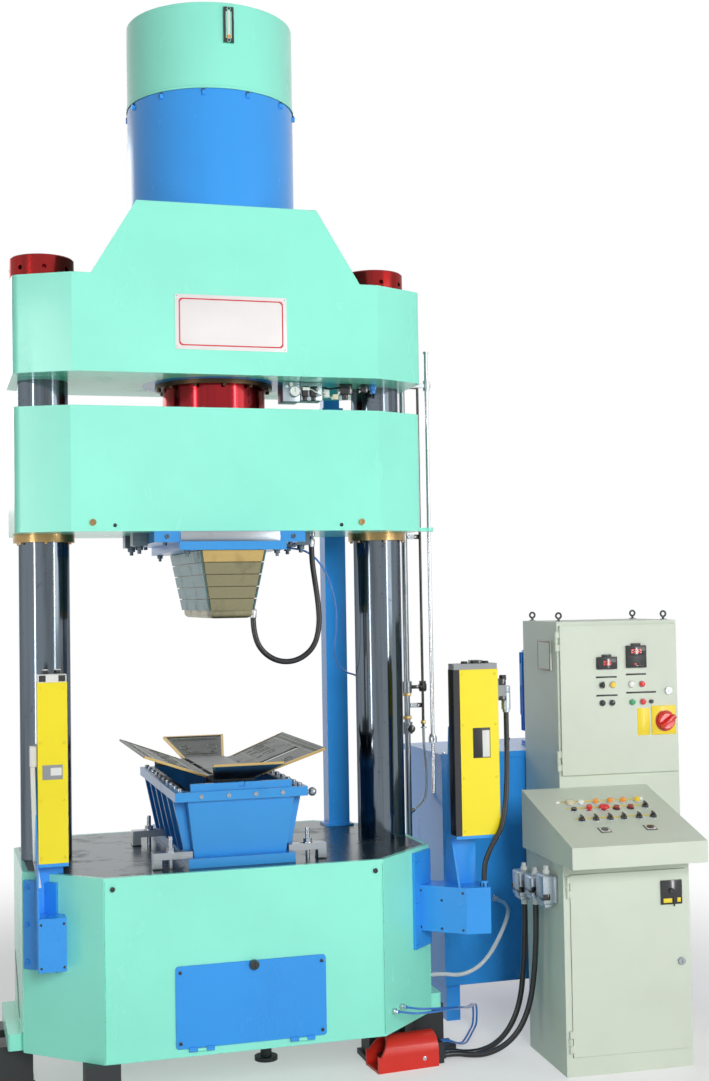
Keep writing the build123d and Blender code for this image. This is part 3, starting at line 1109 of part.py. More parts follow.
def cords():
    """Free hoses, tubes and cables, each from fitting to fitting."""
    hose("press_hose", [(362, -100, 2022), (362, -100, 1945), (373, -103, 1860), (387, -98, 1770),
                        (390, -101, 1680), (365, -104, 1596), (298, -98, 1546), (217, -101, 1546),
                        (150, -99, 1594), (124, -100, 1668), (124, -100, 1722)], 22)
    hose("punch_tube", [(250, -30, 1992), (320, -30, 1992), (386, -24, 1966), (436, -16, 1908),
                        (470, -8, 1830), (489, 0, 1745), (490, 8, 1660), (481, 20, 1582),
                        (500, 46, 1518), (548, 84, 1486), (598, 130, 1474), (630, 188, 1458),
                        (655, 245, 1440), (686, 298, 1422), (730, 338, 1408), (782, 355, 1400),
                        (842, 355, 1400)], 8)
    hose("curtain_cable", [(1048, -400, 1341), (1048, -400, 1262), (1045, -408, 1170), (1036, -422, 1075),
                           (1022, -438, 980), (1000, -450, 905), (972, -453, 868), (944, -453, 820),
                           (925, -450, 768), (925, -450, 716)], 20)
    hose("service_hose", [(969, 355, 1225), (969, 355, 1160), (975, 356, 1095), (979, 354, 1030),
                          (979, 355, 975), (974, 355, 928), (955.8, 355, 895), (921.2, 355, 875)], 12)
    hose("clear_hose", [(805, -150, 300), (860, -150, 300), (925, -156, 288), (990, -160, 306),
                        (1045, -156, 345), (1090, -140, 395), (1130, -112, 440), (1168, -68, 474),
                        (1200, -10, 496), (1216, 56, 506), (1220, 112, 505), (1220, 172, 505)], 16)
    start_a, start_b = TUBE_STARTS
    hose("pedal_tube_a", [stub_point(*start_a, TUBE_STUB), stub_point(*start_a, TUBE_STUB + 28),
                          (619, -517, 264), (672, -502, 258), (738, -461, 248), (805, -401, 234),
                          (863, -326, 212), (911, -244, 188), (958, -158, 160), (1002, -68, 134),
                          (1042, 14, 114), (1078, 80, 102), (1092, 103, 93), (1100, 118, 69),
                          (1100, 118, 40), (1092, 103, 17), (1078, 80, 8), (1046, 24, 8.6), (1004, -50, 8),
                          (958, -128, 10), (902, -192, 34)]
         + pedal_end(PEDAL_TUBES[0], PEDAL_TUBE_Z, 44), 8)
    hose("pedal_tube_b", [stub_point(*start_b, TUBE_STUB), stub_point(*start_b, TUBE_STUB + 28),
                          (659, -476, 266), (708, -459, 258), (756, -424, 246), (794, -388, 234),
                          (850, -316, 212), (898, -235, 188), (945, -150, 160), (989, -60, 134),
                          (1029, 21, 114), (1065, 87, 102), (1079, 110, 93), (1087, 125, 69),
                          (1087, 125, 40), (1079, 110, 17), (1065, 87, 8), (1033, 31, 8.6), (991, -43, 8),
                          (944, -119, 10), (892, -176, 34)]
         + pedal_end(PEDAL_TUBES[1], PEDAL_TUBE_Z, 44), 8)
    hose("conduit_a", [desk_point(-35, 334, 577), desk_point(-35, 334, 490), (1159, -268, 400),
                       (1156, -258, 310), (1150, -250, 228), (1131, -247, 150), (1092, -245, 80),
                       (1036, -246, 32), (968, -250, 14), (902, -254, 17)]
         + pedal_end(PEDAL_CONDUITS[1], PEDAL_CONDUIT_Z, 46), 22)
    hose("conduit_b", [desk_point(-31, 218, 598), desk_point(-31, 218, 510), (1157, -384, 420),
                       (1155, -372, 335), (1148, -360, 250), (1130, -350, 170), (1094, -340, 98),
                       (1040, -324, 46), (975, -305, 18), (915, -289, 17)]
         + pedal_end(PEDAL_CONDUITS[0], PEDAL_CONDUIT_Z, 48), 22)


def main():
    """Build every sub-part into the parts folder."""
    os.makedirs("parts", exist_ok=True)
    for build in (base_frame, table_plate, machine_feet, columns, column_nuts, crown, main_cylinder, oil_tank,
                  gland_flange, ram, crosshead, guide_bushes, stroke_rod, mould_leaves, ejector_plate,
                  mould_box, mould_clamps, punch_holder, punch, rear_duct, pressure_pipes, power_unit,
                  guard_brackets, light_curtains, access_flap, console, desk_controls, cabinet,
                  hose_fittings, foot_pedal, cords):
        build()


main()
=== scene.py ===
import logging
import math
from dataclasses import dataclass, field
from enum import Enum
from typing import ClassVar, Iterable, Optional, Sequence, Union

import bmesh
import bpy
from mathutils import Matrix, Vector


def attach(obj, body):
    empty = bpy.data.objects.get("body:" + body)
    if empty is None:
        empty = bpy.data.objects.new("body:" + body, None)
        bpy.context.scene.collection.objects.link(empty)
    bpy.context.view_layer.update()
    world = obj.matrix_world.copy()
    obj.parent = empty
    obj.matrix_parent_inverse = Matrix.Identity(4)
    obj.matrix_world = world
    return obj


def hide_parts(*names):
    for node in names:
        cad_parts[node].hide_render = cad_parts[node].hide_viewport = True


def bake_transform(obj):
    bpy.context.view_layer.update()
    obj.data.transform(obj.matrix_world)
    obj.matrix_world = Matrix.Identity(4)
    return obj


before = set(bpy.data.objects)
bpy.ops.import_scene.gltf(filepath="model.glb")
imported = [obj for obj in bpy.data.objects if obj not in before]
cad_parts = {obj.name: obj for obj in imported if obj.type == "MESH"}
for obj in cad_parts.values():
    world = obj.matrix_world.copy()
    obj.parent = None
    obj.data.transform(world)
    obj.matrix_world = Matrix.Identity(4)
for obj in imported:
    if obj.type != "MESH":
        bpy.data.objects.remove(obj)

log = logging.getLogger("press")
MM = 0.001
Point = tuple[float, float, float]
Colour = tuple[float, float, float]
Span = tuple[float, float]


# Shader graph


@dataclass(frozen=True)
class Signal:
    """One output socket, with arithmetic that adds Math nodes."""

    graph: "Graph"
    socket: bpy.types.NodeSocket

    def _math(self, operation: str, first: "Operand", second: "Operand") -> "Signal":
        """Add one Math node.

        Args:
            operation: The node's operation.
            first: Its first value.
            second: Its second value.

        Returns:
            The node's result.
        """
        return self.graph.node("ShaderNodeMath", {"operation": operation}, {0: first, 1: second})

    def __add__(self, other: "Operand") -> "Signal":
        """Sum."""
        return self._math("ADD", self, other)

    def __radd__(self, other: "Operand") -> "Signal":
        """Sum with a number in front."""
        return self._math("ADD", other, self)

    def __sub__(self, other: "Operand") -> "Signal":
        """Difference."""
        return self._math("SUBTRACT", self, other)

    def __rsub__(self, other: "Operand") -> "Signal":
        """A number less this signal."""
        return self._math("SUBTRACT", other, self)

    def __mul__(self, other: "Operand") -> "Signal":
        """Product."""
        return self._math("MULTIPLY", self, other)

    def __rmul__(self, other: "Operand") -> "Signal":
        """Product with a number in front."""
        return self._math("MULTIPLY", other, self)

    def __gt__(self, other: "Operand") -> "Signal":
        """One where this signal is above the other, else nought."""
        return self._math("GREATER_THAN", self, other)

    def __lt__(self, other: "Operand") -> "Signal":
        """One where this signal is below the other, else nought."""
        return self._math("LESS_THAN", self, other)

    def step(self, low: float, high: float) -> "Signal":
        """Smooth rise from nought to one.

        Args:
            low: Where it leaves nought.
            high: Where it reaches one.

        Returns:
            The risen signal.
        """
        return self.graph.node("ShaderNodeMapRange", {"interpolation_type": "SMOOTHSTEP"},
                               {"Value": self, "From Min": low, "From Max": high})


Operand = Union[Signal, float]


class Graph:
    """Node tree of one material or of the surround."""

    def __init__(self, name: str = "", tree: Optional[bpy.types.NodeTree] = None) -> None:
        """Start an empty tree.

        Args:
            name: Name of the new material that it belongs to.
            tree: A tree to fill in place of a new material's.
        """
        if tree is None:
            self.material = bpy.data.materials.new(name)
            self.material.use_nodes = True
            tree = self.material.node_tree
        self.tree = tree
        self.tree.nodes.clear()
        self._place: Optional[Signal] = None

    def node(self, kind: str, settings: Optional[dict] = None, inputs: Optional[dict] = None,
             output: Union[int, str] = 0) -> Signal:
        """Add any node.

        Args:
            kind: The node's type.
            settings: Its properties, set first; "stops" holds a ramp's positions and colours.
            inputs: Values or links of its sockets, by name or number.
            output: The output that is handed back.

        Returns:
            That output.
        """
        made = self.tree.nodes.new(kind)
        for name, value in (settings or {}).items():
            if name == "stops":
                self._stops(made.color_ramp, value)
            else:
                setattr(made, name, value)
        for name, value in (inputs or {}).items():
            if isinstance(value, Signal):
                self.tree.links.new(value.socket, made.inputs[name])
            elif isinstance(value, tuple) and len(value) == 3 and made.inputs[name].type == "RGBA":
                made.inputs[name].default_value = (*value, 1.0)
            else:
                made.inputs[name].default_value = value
        return Signal(self, made.outputs[output])

    @staticmethod
    def _stops(ramp: bpy.types.ColorRamp, stops: Sequence[tuple[float, float]]) -> None:
        """Set a grey ramp's stops from (position, level) pairs.

        Args:
            ramp: The ramp to set.
            stops: Pairs of position and grey level.
        """
        while len(ramp.elements) < len(stops):
            ramp.elements.new(1.0)
        for element, (position, level) in zip(ramp.elements, stops):
            element.position = position
            element.color = (level, level, level, 1.0)

    def place(self) -> Signal:
        """Position on the piece, in metres, which rides with it.

        Returns:
            The place.
        """
        if self._place is None:
            self._place = self.node("ShaderNodeTexCoord", output="Object")
        return self._place

    def stretched(self, scale: Point) -> Signal:
        """Position with each axis scaled."""
        return self.node("ShaderNodeVectorMath", {"operation": "MULTIPLY"}, {0: self.place(), 1: scale})

    def along(self, direction: Point) -> Signal:
        """Distance along a direction, in metres."""
        return self.node("ShaderNodeVectorMath", {"operation": "DOT_PRODUCT"},
                         {0: self.place(), 1: direction}, output="Value")

    def noise(self, scale: float, detail: float = 3.0, rough: float = 0.5,
              at: Optional[Signal] = None) -> Signal:
        """Noise from nought to one.

        Args:
            scale: Its frequency per metre.
            detail: Its octaves.
            rough: How strong the fine octaves are.
            at: Another position than the piece's own.

        Returns:
            The noise.
        """
        inputs = {"Vector": at or self.place(), "Scale": scale, "Detail": detail, "Roughness": rough}
        return self.node("ShaderNodeTexNoise", None, inputs)

    def cells(self, scale: float, feature: str = "F1", at: Optional[Signal] = None) -> Signal:
        """Distance to the nearest cell point or edge."""
        return self.node("ShaderNodeTexVoronoi", {"feature": feature},
                         {"Vector": at or self.place(), "Scale": scale}, output="Distance")

    def mix(self, factor: Operand, first: Union[Signal, Colour], second: Union[Signal, Colour]) -> Signal:
        """Blend two colours."""
        return self.node("ShaderNodeMix", {"data_type": "RGBA"}, {0: factor, 6: first, 7: second}, output=2)

    def edge(self, radius: float) -> Signal:
        """How near a point is to a sharp edge, from nought to about one.

        Args:
            radius: Reach of the edge, in metres.

        Returns:
            The measure.
        """
        rounded = self.node("ShaderNodeBevel", {"samples": 4}, {"Radius": radius})
        plain = self.node("ShaderNodeNewGeometry", output="Normal")
        same = self.node("ShaderNodeVectorMath", {"operation": "DOT_PRODUCT"}, {0: rounded, 1: plain},
                         output="Value")
        return (1.0 - same).step(0.02, 0.25)

    def bump(self, height: Signal, distance: float, strength: float = 1.0, soft_edge: float = 0.0) -> Signal:
        """Normal from a height, with edges softened where a radius is given.

        Args:
            height: Height of the surface.
            distance: How far a height of one stands out, in metres.
            strength: Share of the full slope.
            soft_edge: Radius of the softened edges, in metres.

        Returns:
            The normal.
        """
        inputs = {"Height": height, "Distance": distance, "Strength": strength}
        if soft_edge:
            inputs["Normal"] = self.node("ShaderNodeBevel", {"samples": 4}, {"Radius": soft_edge})
        return self.node("ShaderNodeBump", None, inputs)

    def principled(self, inputs: dict) -> Signal:
        """The surface shader."""
        return self.node("ShaderNodeBsdfPrincipled", None, inputs, output="BSDF")

    def close(self, surface: Signal) -> bpy.types.Material:
        """Wire the surface to the output and hand over the material.

        Args:
            surface: The finished surface.

        Returns:
            The material.
        """
        end = self.tree.nodes.new("ShaderNodeOutputMaterial")
        self.tree.links.new(surface.socket, end.inputs["Surface"])
        return self.material


# Finishes


class Finish:
    """A surface finish that makes its material once."""

    made: ClassVar[dict] = {}

    def shader(self, graph: Graph) -> Signal:
        """The surface shader of this finish."""
        raise NotImplementedError

    def material(self) -> bpy.types.Material:
        """The finish's material, made at its first use.

        Returns:
            The material.
        """
        if self not in Finish.made:
            graph = Graph(self.name)
            Finish.made[self] = graph.close(self.shader(graph))
        return Finish.made[self]


@dataclass(frozen=True)
class Enamel(Finish):
    """Sprayed machine enamel with faint orange peel, dust and chipped edges."""

    name: str
    colour: Colour
    chip: Colour = (0.16, 0.17, 0.16)
    roughness: float = 0.24
    peel: float = 0.00006
    wear: float = 0.5
    grime: float = 0.25
    soft_edge: float = 0.0025

    def shader(self, graph: Graph) -> Signal:
        """Colour drifts softly, dirt gathers in smears, and edges are chipped.

        Args:
            graph: The material's tree.

        Returns:
            The surface.
        """
        drift = graph.noise(2.3, 4.0)
        shade = tuple(c * 0.88 for c in self.colour)
        colour = graph.mix(drift.step(0.35, 0.75) * 0.55, self.colour, shade)
        smear = graph.noise(7.0, 6.0, 0.62, graph.stretched((1.0, 1.0, 0.35))).step(0.56, 0.82)
        speck = graph.noise(140.0, 2.0).step(0.66, 0.74)
        dirt = tuple(c * 0.55 + 0.02 for c in self.colour)
        colour = graph.mix((smear * self.grime + speck * (self.grime * 0.5)), colour, dirt)
        chips = graph.edge(0.0035) * graph.noise(34.0, 5.0, 0.7).step(0.5, 0.6) * self.wear
        colour = graph.mix(chips, colour, self.chip)
        rough = smear * 0.22 + chips * 0.3 + (self.roughness + drift * 0.06)
        height = graph.noise(260.0, 2.0) + chips * -1.6 + graph.noise(9.0, 2.0) * 3.0
        return graph.principled({"Base Color": colour, "Roughness": rough, "Coat Weight": 0.15,
                                 "Coat Roughness": 0.12, "Specular IOR Level": 0.35,
                                 "Normal": graph.bump(height, self.peel, 0.7, self.soft_edge)})


@dataclass(frozen=True)
class TexturedPaint(Finish):
    """Fine-grained textured paint of sheet-metal cabinets."""

    name: str
    colour: Colour
    grain: float = 700.0
    roughness: float = 0.42

    def shader(self, graph: Graph) -> Signal:
        """A fine pebble grain with faint hand marks.

        Args:
            graph: The material's tree.

        Returns:
            The surface.
        """
        grain = graph.noise(self.grain, 3.0, 0.6)
        drift = graph.noise(3.1, 3.0)
        marks = graph.noise(11.0, 6.0, 0.7).step(0.6, 0.8)
        dark = tuple(c * 0.9 for c in self.colour)
        worn = tuple(c * 0.72 for c in self.colour)
        colour = graph.mix(drift.step(0.4, 0.7) * 0.5 + grain.step(0.45, 0.7) * 0.25, self.colour, dark)
        edges = graph.edge(0.003) * graph.noise(60.0, 4.0, 0.7).step(0.55, 0.66)
        colour = graph.mix(marks * 0.16 + edges * 0.6, colour, worn)
        return graph.principled({"Base Color": colour,
                                 "Roughness": marks * 0.12 + (self.roughness + grain * 0.08),
                                 "Normal": graph.bump(grain, 0.00012, 0.6, 0.0015)})


class Lay(Enum):
    """Direction of the tool marks on a machined face."""

    TURNED = (2.0, 2.0, 900.0)
    UPRIGHT = (500.0, 500.0, 4.0)
    ACROSS = (4.0, 500.0, 500.0)
    ALONG = (500.0, 4.0, 500.0)
    EVEN = (160.0, 160.0, 160.0)


@dataclass(frozen=True)
class Metal(Finish):
    """Machined or ground metal with tool marks, oil film and stains."""

    name: str
    colour: Colour
    roughness: float = 0.3
    lay: Lay = Lay.EVEN
    stain: Colour = (0.05, 0.045, 0.04)
    stained: float = 0.3
    mark: float = 0.00004
    edge_shine: float = 0.4
    metallic: float = 1.0
    edge_tint: Colour = (1.0, 1.0, 1.0)

    def shader(self, graph: Graph) -> Signal:
        """Marks run with the tool, stains pool at random, and edges are rubbed bright.

        Args:
            graph: The material's tree.

        Returns:
            The surface.
        """
        marks = graph.noise(1.0, 4.0, 0.65, graph.stretched(self.lay.value))
        pools = graph.noise(9.0, 6.0, 0.6).step(0.5, 0.78)
        fine = graph.noise(85.0, 4.0, 0.7)
        bright = tuple(min(1.0, c * 1.5 + 0.06) for c in self.colour)
        dull = tuple(c * 0.72 for c in self.colour)
        colour = graph.mix(marks.step(0.3, 0.7) * 0.6, self.colour, dull)
        colour = graph.mix(pools * self.stained + fine.step(0.62, 0.72) * (self.stained * 0.4), colour,
                           self.stain)
        rubbed = graph.edge(0.0025) * fine.step(0.35, 0.6) * self.edge_shine
        colour = graph.mix(rubbed, colour, bright)
        rough = pools * 0.22 + marks * 0.1 + (self.roughness - 0.05) + fine * 0.05
        return graph.principled({"Base Color": colour, "Metallic": self.metallic, "Roughness": rough,
                                 "Specular Tint": (*self.edge_tint, 1.0),
                                 "Normal": graph.bump(marks + fine * 0.5, self.mark, 0.6, 0.0012)})


@dataclass(frozen=True)
class PolishedShaft(Finish):
    """Ground and polished round bar with a thin oil film and painted dark reflection bands."""

    name: str
    colour: Colour
    roughness: float = 0.09
    # Colour of oil drops and of the dark bands, which are partly painted dark reflection.
    film: Colour = (0.02, 0.025, 0.03)
    # Dark tint of grazing reflections: painted dark reflection along the bar's outline.
    edge_tint: Colour = (0.25, 0.28, 0.3)

    def shader(self, graph: Graph) -> Signal:
        """Fine rings from grinding under long dark bands, partly oil and partly painted dark reflection round
        the bar.

        Args:
            graph: The material's tree.

        Returns:
            The surface.
        """
        rings = graph.noise(1.0, 3.0, 0.6, graph.stretched((1.5, 1.5, 1400.0)))
        # Dark bands round the bar: partly oil, partly painted dark reflection.
        oil_and_reflection_bands = graph.noise(1.0, 5.0, 0.6, graph.stretched((26.0, 26.0, 0.8)))
        drops = graph.noise(48.0, 3.0, 0.6).step(0.64, 0.72)
        colour = graph.mix(oil_and_reflection_bands.step(0.4, 0.72) * 0.55, self.colour, self.film)
        colour = graph.mix(drops * 0.35, colour, self.film)
        rough = oil_and_reflection_bands.step(0.4, 0.75) * 0.09 + rings * 0.05 + self.roughness
        return graph.principled({"Base Color": colour, "Metallic": 1.0, "Roughness": rough,
                                 "Specular Tint": (*self.edge_tint, 1.0), "Coat Weight": 0.4,
                                 "Coat Roughness": 0.05,
                                 "Normal": graph.bump(rings + oil_and_reflection_bands * 0.3, 0.00001, 0.5)})


@dataclass(frozen=True)
class Casting(Finish):
    """Rough black iron with oil and rust."""

    name: str
    colour: Colour = (0.022, 0.024, 0.026)
    rust: Colour = (0.12, 0.05, 0.025)

    def shader(self, graph: Graph) -> Signal:
        """Sand-cast skin with rusty spots.

        Args:
            graph: The material's tree.

        Returns:
            The surface.
        """
        sand = graph.noise(190.0, 5.0, 0.65)
        spots = graph.noise(21.0, 5.0, 0.7).step(0.56, 0.7)
        colour = graph.mix(spots * 0.5, graph.mix(sand, self.colour, tuple(c * 1.9 for c in self.colour)),
                           self.rust)
        return graph.principled({"Base Color": colour, "Roughness": sand * 0.25 + (spots * 0.2 + 0.42),
                                 "Normal": graph.bump(sand, 0.0006, 0.7, 0.003)})


@dataclass(frozen=True)
class Moulded(Finish):
    """Moulded plastic or rubber with a fine grain and scuffs."""

    name: str
    colour: Colour
    roughness: float = 0.35
    grain: float = 900.0
    depth: float = 0.00003
    coat: float = 0.0
    scuffs: float = 0.3

    def shader(self, graph: Graph) -> Signal:
        """Even colour, a fine grain, and pale scuffs where it is handled.

        Args:
            graph: The material's tree.

        Returns:
            The surface.
        """
        grain = graph.noise(self.grain, 2.0)
        scuff = graph.noise(38.0, 6.0, 0.75).step(0.58, 0.74)
        pale = tuple(c * 0.8 + 0.05 for c in self.colour)
        colour = graph.mix(scuff * self.scuffs, self.colour, pale)
        colour = graph.mix(graph.noise(6.0, 2.0).step(0.4, 0.8) * 0.3, colour,
                           tuple(c * 0.82 for c in self.colour))
        return graph.principled({"Base Color": colour,
                                 "Roughness": scuff * 0.14 + (self.roughness + grain * 0.05),
                                 "Coat Weight": self.coat, "Coat Roughness": 0.08,
                                 "Normal": graph.bump(grain + scuff * 0.4, self.depth, 0.6, 0.0006)})


@dataclass(frozen=True)
class ClearTube(Finish):
    """Milky see-through hose."""

    name: str
    colour: Colour = (0.86, 0.9, 0.9)
    roughness: float = 0.16
    through: float = 0.35

    def shader(self, graph: Graph) -> Signal:
        """Cloudy wall with a reinforcing weave.

        Args:
            graph: The material's tree.

        Returns:
            The surface.
        """
        weave = graph.cells(240.0).step(0.2, 0.5)
        cloud = graph.noise(22.0, 3.0)
        colour = graph.mix(cloud * 0.5 + weave * 0.12, self.colour, tuple(c * 0.7 for c in self.colour))
        return graph.principled({"Base Color": colour, "Roughness": cloud * 0.12 + self.roughness,
                                 "Transmission Weight": self.through, "IOR": 1.45, "Coat Weight": 0.3,
                                 "Normal": graph.bump(weave, 0.00006, 0.5)})


@dataclass(frozen=True)
class LampCap(Finish):
    """Tinted lens or key with a faint glow."""

    name: str
    colour: Colour
    glow: float = 0.0
    roughness: float = 0.18

    def shader(self, graph: Graph) -> Signal:
        """Tinted plastic with a frosted inner grain.

        Args:
            graph: The material's tree.

        Returns:
            The surface.
        """
        frost = graph.noise(420.0, 2.0)
        colour = graph.mix(frost.step(0.4, 0.7) * 0.3, self.colour, tuple(c * 0.75 for c in self.colour))
        return graph.principled({"Base Color": colour, "Roughness": frost * 0.1 + self.roughness,
                                 "Coat Weight": 0.5, "Coat Roughness": 0.05, "Emission Color": self.colour,
                                 "Emission Strength": self.glow, "Normal": graph.bump(frost, 0.00003, 0.5)})


@dataclass(frozen=True)
class Zoned(Finish):
    """Two finishes that meet at a plane across the piece."""

    name: str
    low: Finish
    high: Finish
    direction: Point
    limit: float

    def shader(self, graph: Graph) -> Signal:
        """The low finish before the plane and the high one beyond it.

        Args:
            graph: The material's tree.

        Returns:
            The surface.
        """
        mask = graph.along(self.direction) > self.limit
        return graph.node("ShaderNodeMixShader", None,
                          {0: mask, 1: self.low.shader(graph), 2: self.high.shader(graph)})


# Finishes of this press
MINT = Enamel("mint_enamel", (0.315, 0.955, 0.755), chip=(0.2, 0.24, 0.23), roughness=0.2, wear=0.6,
              grime=0.12)
BLUE = Enamel("blue_enamel", (0.04, 0.355, 0.93), chip=(0.05, 0.06, 0.08), roughness=0.22, wear=0.55,
              grime=0.16)
TOOL_BLUE = Enamel("tool_blue", (0.045, 0.33, 0.78), chip=(0.3, 0.33, 0.36), roughness=0.26, wear=1.0,
                   grime=0.4)
SAFETY_YELLOW = Enamel("safety_yellow", (0.985, 0.82, 0.022), chip=(0.35, 0.3, 0.1), roughness=0.28, wear=0.4,
                       grime=0.1, soft_edge=0.0015)
PEDAL_RED = Enamel("pedal_red", (0.78, 0.035, 0.022), chip=(0.2, 0.05, 0.04), roughness=0.3, wear=0.7,
                   grime=0.3)
CABINET = TexturedPaint("cabinet_paint", (0.68, 0.745, 0.635))
PLINTH = TexturedPaint("plinth_paint", (0.16, 0.2, 0.19))
# Near-black base and band colours of the columns: painted dark reflection of the surroundings in the chrome.
COLUMN = PolishedShaft("column_chrome", (0.13, 0.16, 0.19), 0.08, (0.012, 0.014, 0.018), (0.2, 0.23, 0.25))
RAM = PolishedShaft("ram_film", (0.3, 0.006, 0.012), 0.12, (0.1, 0.001, 0.002), (0.5, 0.05, 0.1))
RED_NUT = PolishedShaft("red_nut", (0.3, 0.008, 0.008), 0.2, (0.06, 0.002, 0.002), (0.5, 0.08, 0.1))
TABLE = Metal("table_steel", (0.05, 0.085, 0.095), 0.22, Lay.ACROSS, (0.02, 0.022, 0.02), 0.6, 0.00005, 0.3,
              0.75)
EJECTOR = Metal("ejector_steel", (0.12, 0.13, 0.135), 0.34, Lay.ALONG, (0.03, 0.025, 0.02), 0.6)
STEEL = Metal("milled_steel", (0.42, 0.46, 0.49), 0.28, Lay.ACROSS)
DARK_STEEL = Metal("dark_steel", (0.075, 0.085, 0.09), 0.32, Lay.EVEN, (0.02, 0.02, 0.02), 0.5)
BRIGHT = Metal("bright_steel", (0.66, 0.69, 0.72), 0.2, Lay.TURNED, stained=0.12)
BRONZE = Metal("turned_bronze", (0.42, 0.28, 0.12), 0.26, Lay.TURNED, (0.08, 0.05, 0.03), 0.4)
OILED_BRONZE = Metal("oiled_bronze", (0.1, 0.065, 0.035), 0.34, Lay.TURNED, (0.02, 0.015, 0.01), 0.6)
CLAMP_STEEL = Metal("clamp_steel", (0.13, 0.17, 0.2), 0.34, Lay.ACROSS, (0.03, 0.03, 0.03), 0.4)
BRASS = Metal("leaf_brass", (0.62, 0.45, 0.18), 0.3, Lay.ALONG, (0.1, 0.07, 0.03), 0.4)
PUNCH = Metal("punch_bronze", (0.3, 0.28, 0.17), 0.3, Lay.ALONG, (0.07, 0.065, 0.055), 0.75, 0.0001, 0.8,
              0.85)
LEAF = Metal("leaf_steel", (0.1, 0.11, 0.105), 0.38, Lay.EVEN, (0.02, 0.02, 0.018), 0.7, 0.00012, 0.9)
RELIEF = Metal("relief_steel", (0.2, 0.21, 0.18), 0.34, Lay.EVEN, (0.04, 0.035, 0.025), 0.5, 0.0001, 0.9)
GALVANISED = Metal("galvanised_pipe", (0.3, 0.33, 0.35), 0.3, Lay.UPRIGHT, (0.12, 0.13, 0.13), 0.5)
ALUMINIUM = Metal("cast_aluminium", (0.5, 0.57, 0.63), 0.36, Lay.EVEN, (0.2, 0.23, 0.26), 0.4)
IRON = Casting("black_iron")
BLACK = Moulded("black_plastic", (0.018, 0.019, 0.02))
BLACK_GLOSS = Moulded("black_gloss", (0.014, 0.015, 0.017), 0.12, coat=0.4, scuffs=0.12)
DARK_WINDOW = Moulded("sensor_window", (0.01, 0.008, 0.012), 0.08, coat=0.6, scuffs=0.08)
HOSE_RUBBER = Moulded("hose_rubber", (0.014, 0.015, 0.017), 0.3, 420.0, 0.00008, 0.15, 0.25)
BLUE_TUBE = Moulded("blue_tube", (0.035, 0.2, 0.62), 0.2, 300.0, 0.00002, 0.3, 0.15)
PALE = Moulded("pale_plastic", (0.78, 0.79, 0.76), 0.34)
GREY = Moulded("grey_plastic", (0.3, 0.32, 0.33), 0.38)
WHITE_CAP = LampCap("white_lamp", (0.82, 0.82, 0.76), 0.12)
CREAM_CAP = LampCap("cream_key", (0.78, 0.7, 0.5))
ORANGE_CAP = LampCap("orange_lamp", (0.9, 0.3, 0.02), 0.1)
YELLOW_CAP = LampCap("yellow_lamp", (0.92, 0.6, 0.02), 0.1)
RED_CAP = LampCap("red_key", (0.72, 0.012, 0.012), 0.05)
DARK_RED_CAP = LampCap("dark_red_key", (0.3, 0.012, 0.012))
GREEN_CAP = LampCap("green_key", (0.02, 0.35, 0.12), 0.05)
DIGITS = LampCap("red_digits", (1.0, 0.03, 0.02), 1.2)
SWITCH_BLUE = Moulded("switch_blue", (0.03, 0.25, 0.75), 0.3, coat=0.2, scuffs=0.1)
DARK_RIM = Moulded("label_rim", (0.2, 0.1, 0.08), 0.3, coat=0.2, scuffs=0.1)
PUNCH_SIDE = Metal("punch_side_steel", (0.1, 0.19, 0.2), 0.34, Lay.ALONG, (0.05, 0.07, 0.075), 0.5)
# Faint emission of the sight glass: a painted glow, the tube is no lamp.
GLASS_TUBE = LampCap("sight_glass", (0.75, 0.82, 0.74), 0.05, 0.06)
CLEAR = ClearTube("clear_hose")
SWITCH_RED = Moulded("switch_red", (0.75, 0.015, 0.012), 0.24, coat=0.35, scuffs=0.15)
SWITCH_YELLOW = Moulded("switch_yellow", (0.93, 0.72, 0.02), 0.3, coat=0.2, scuffs=0.1)
PLATE_WHITE = Moulded("plate_white", (0.9, 0.86, 0.85), 0.22, 500.0, coat=0.3, scuffs=0.1)
PLATE_RED = Moulded("plate_red", (0.62, 0.03, 0.04), 0.25, 500.0, coat=0.3, scuffs=0.1)


# Mesh building


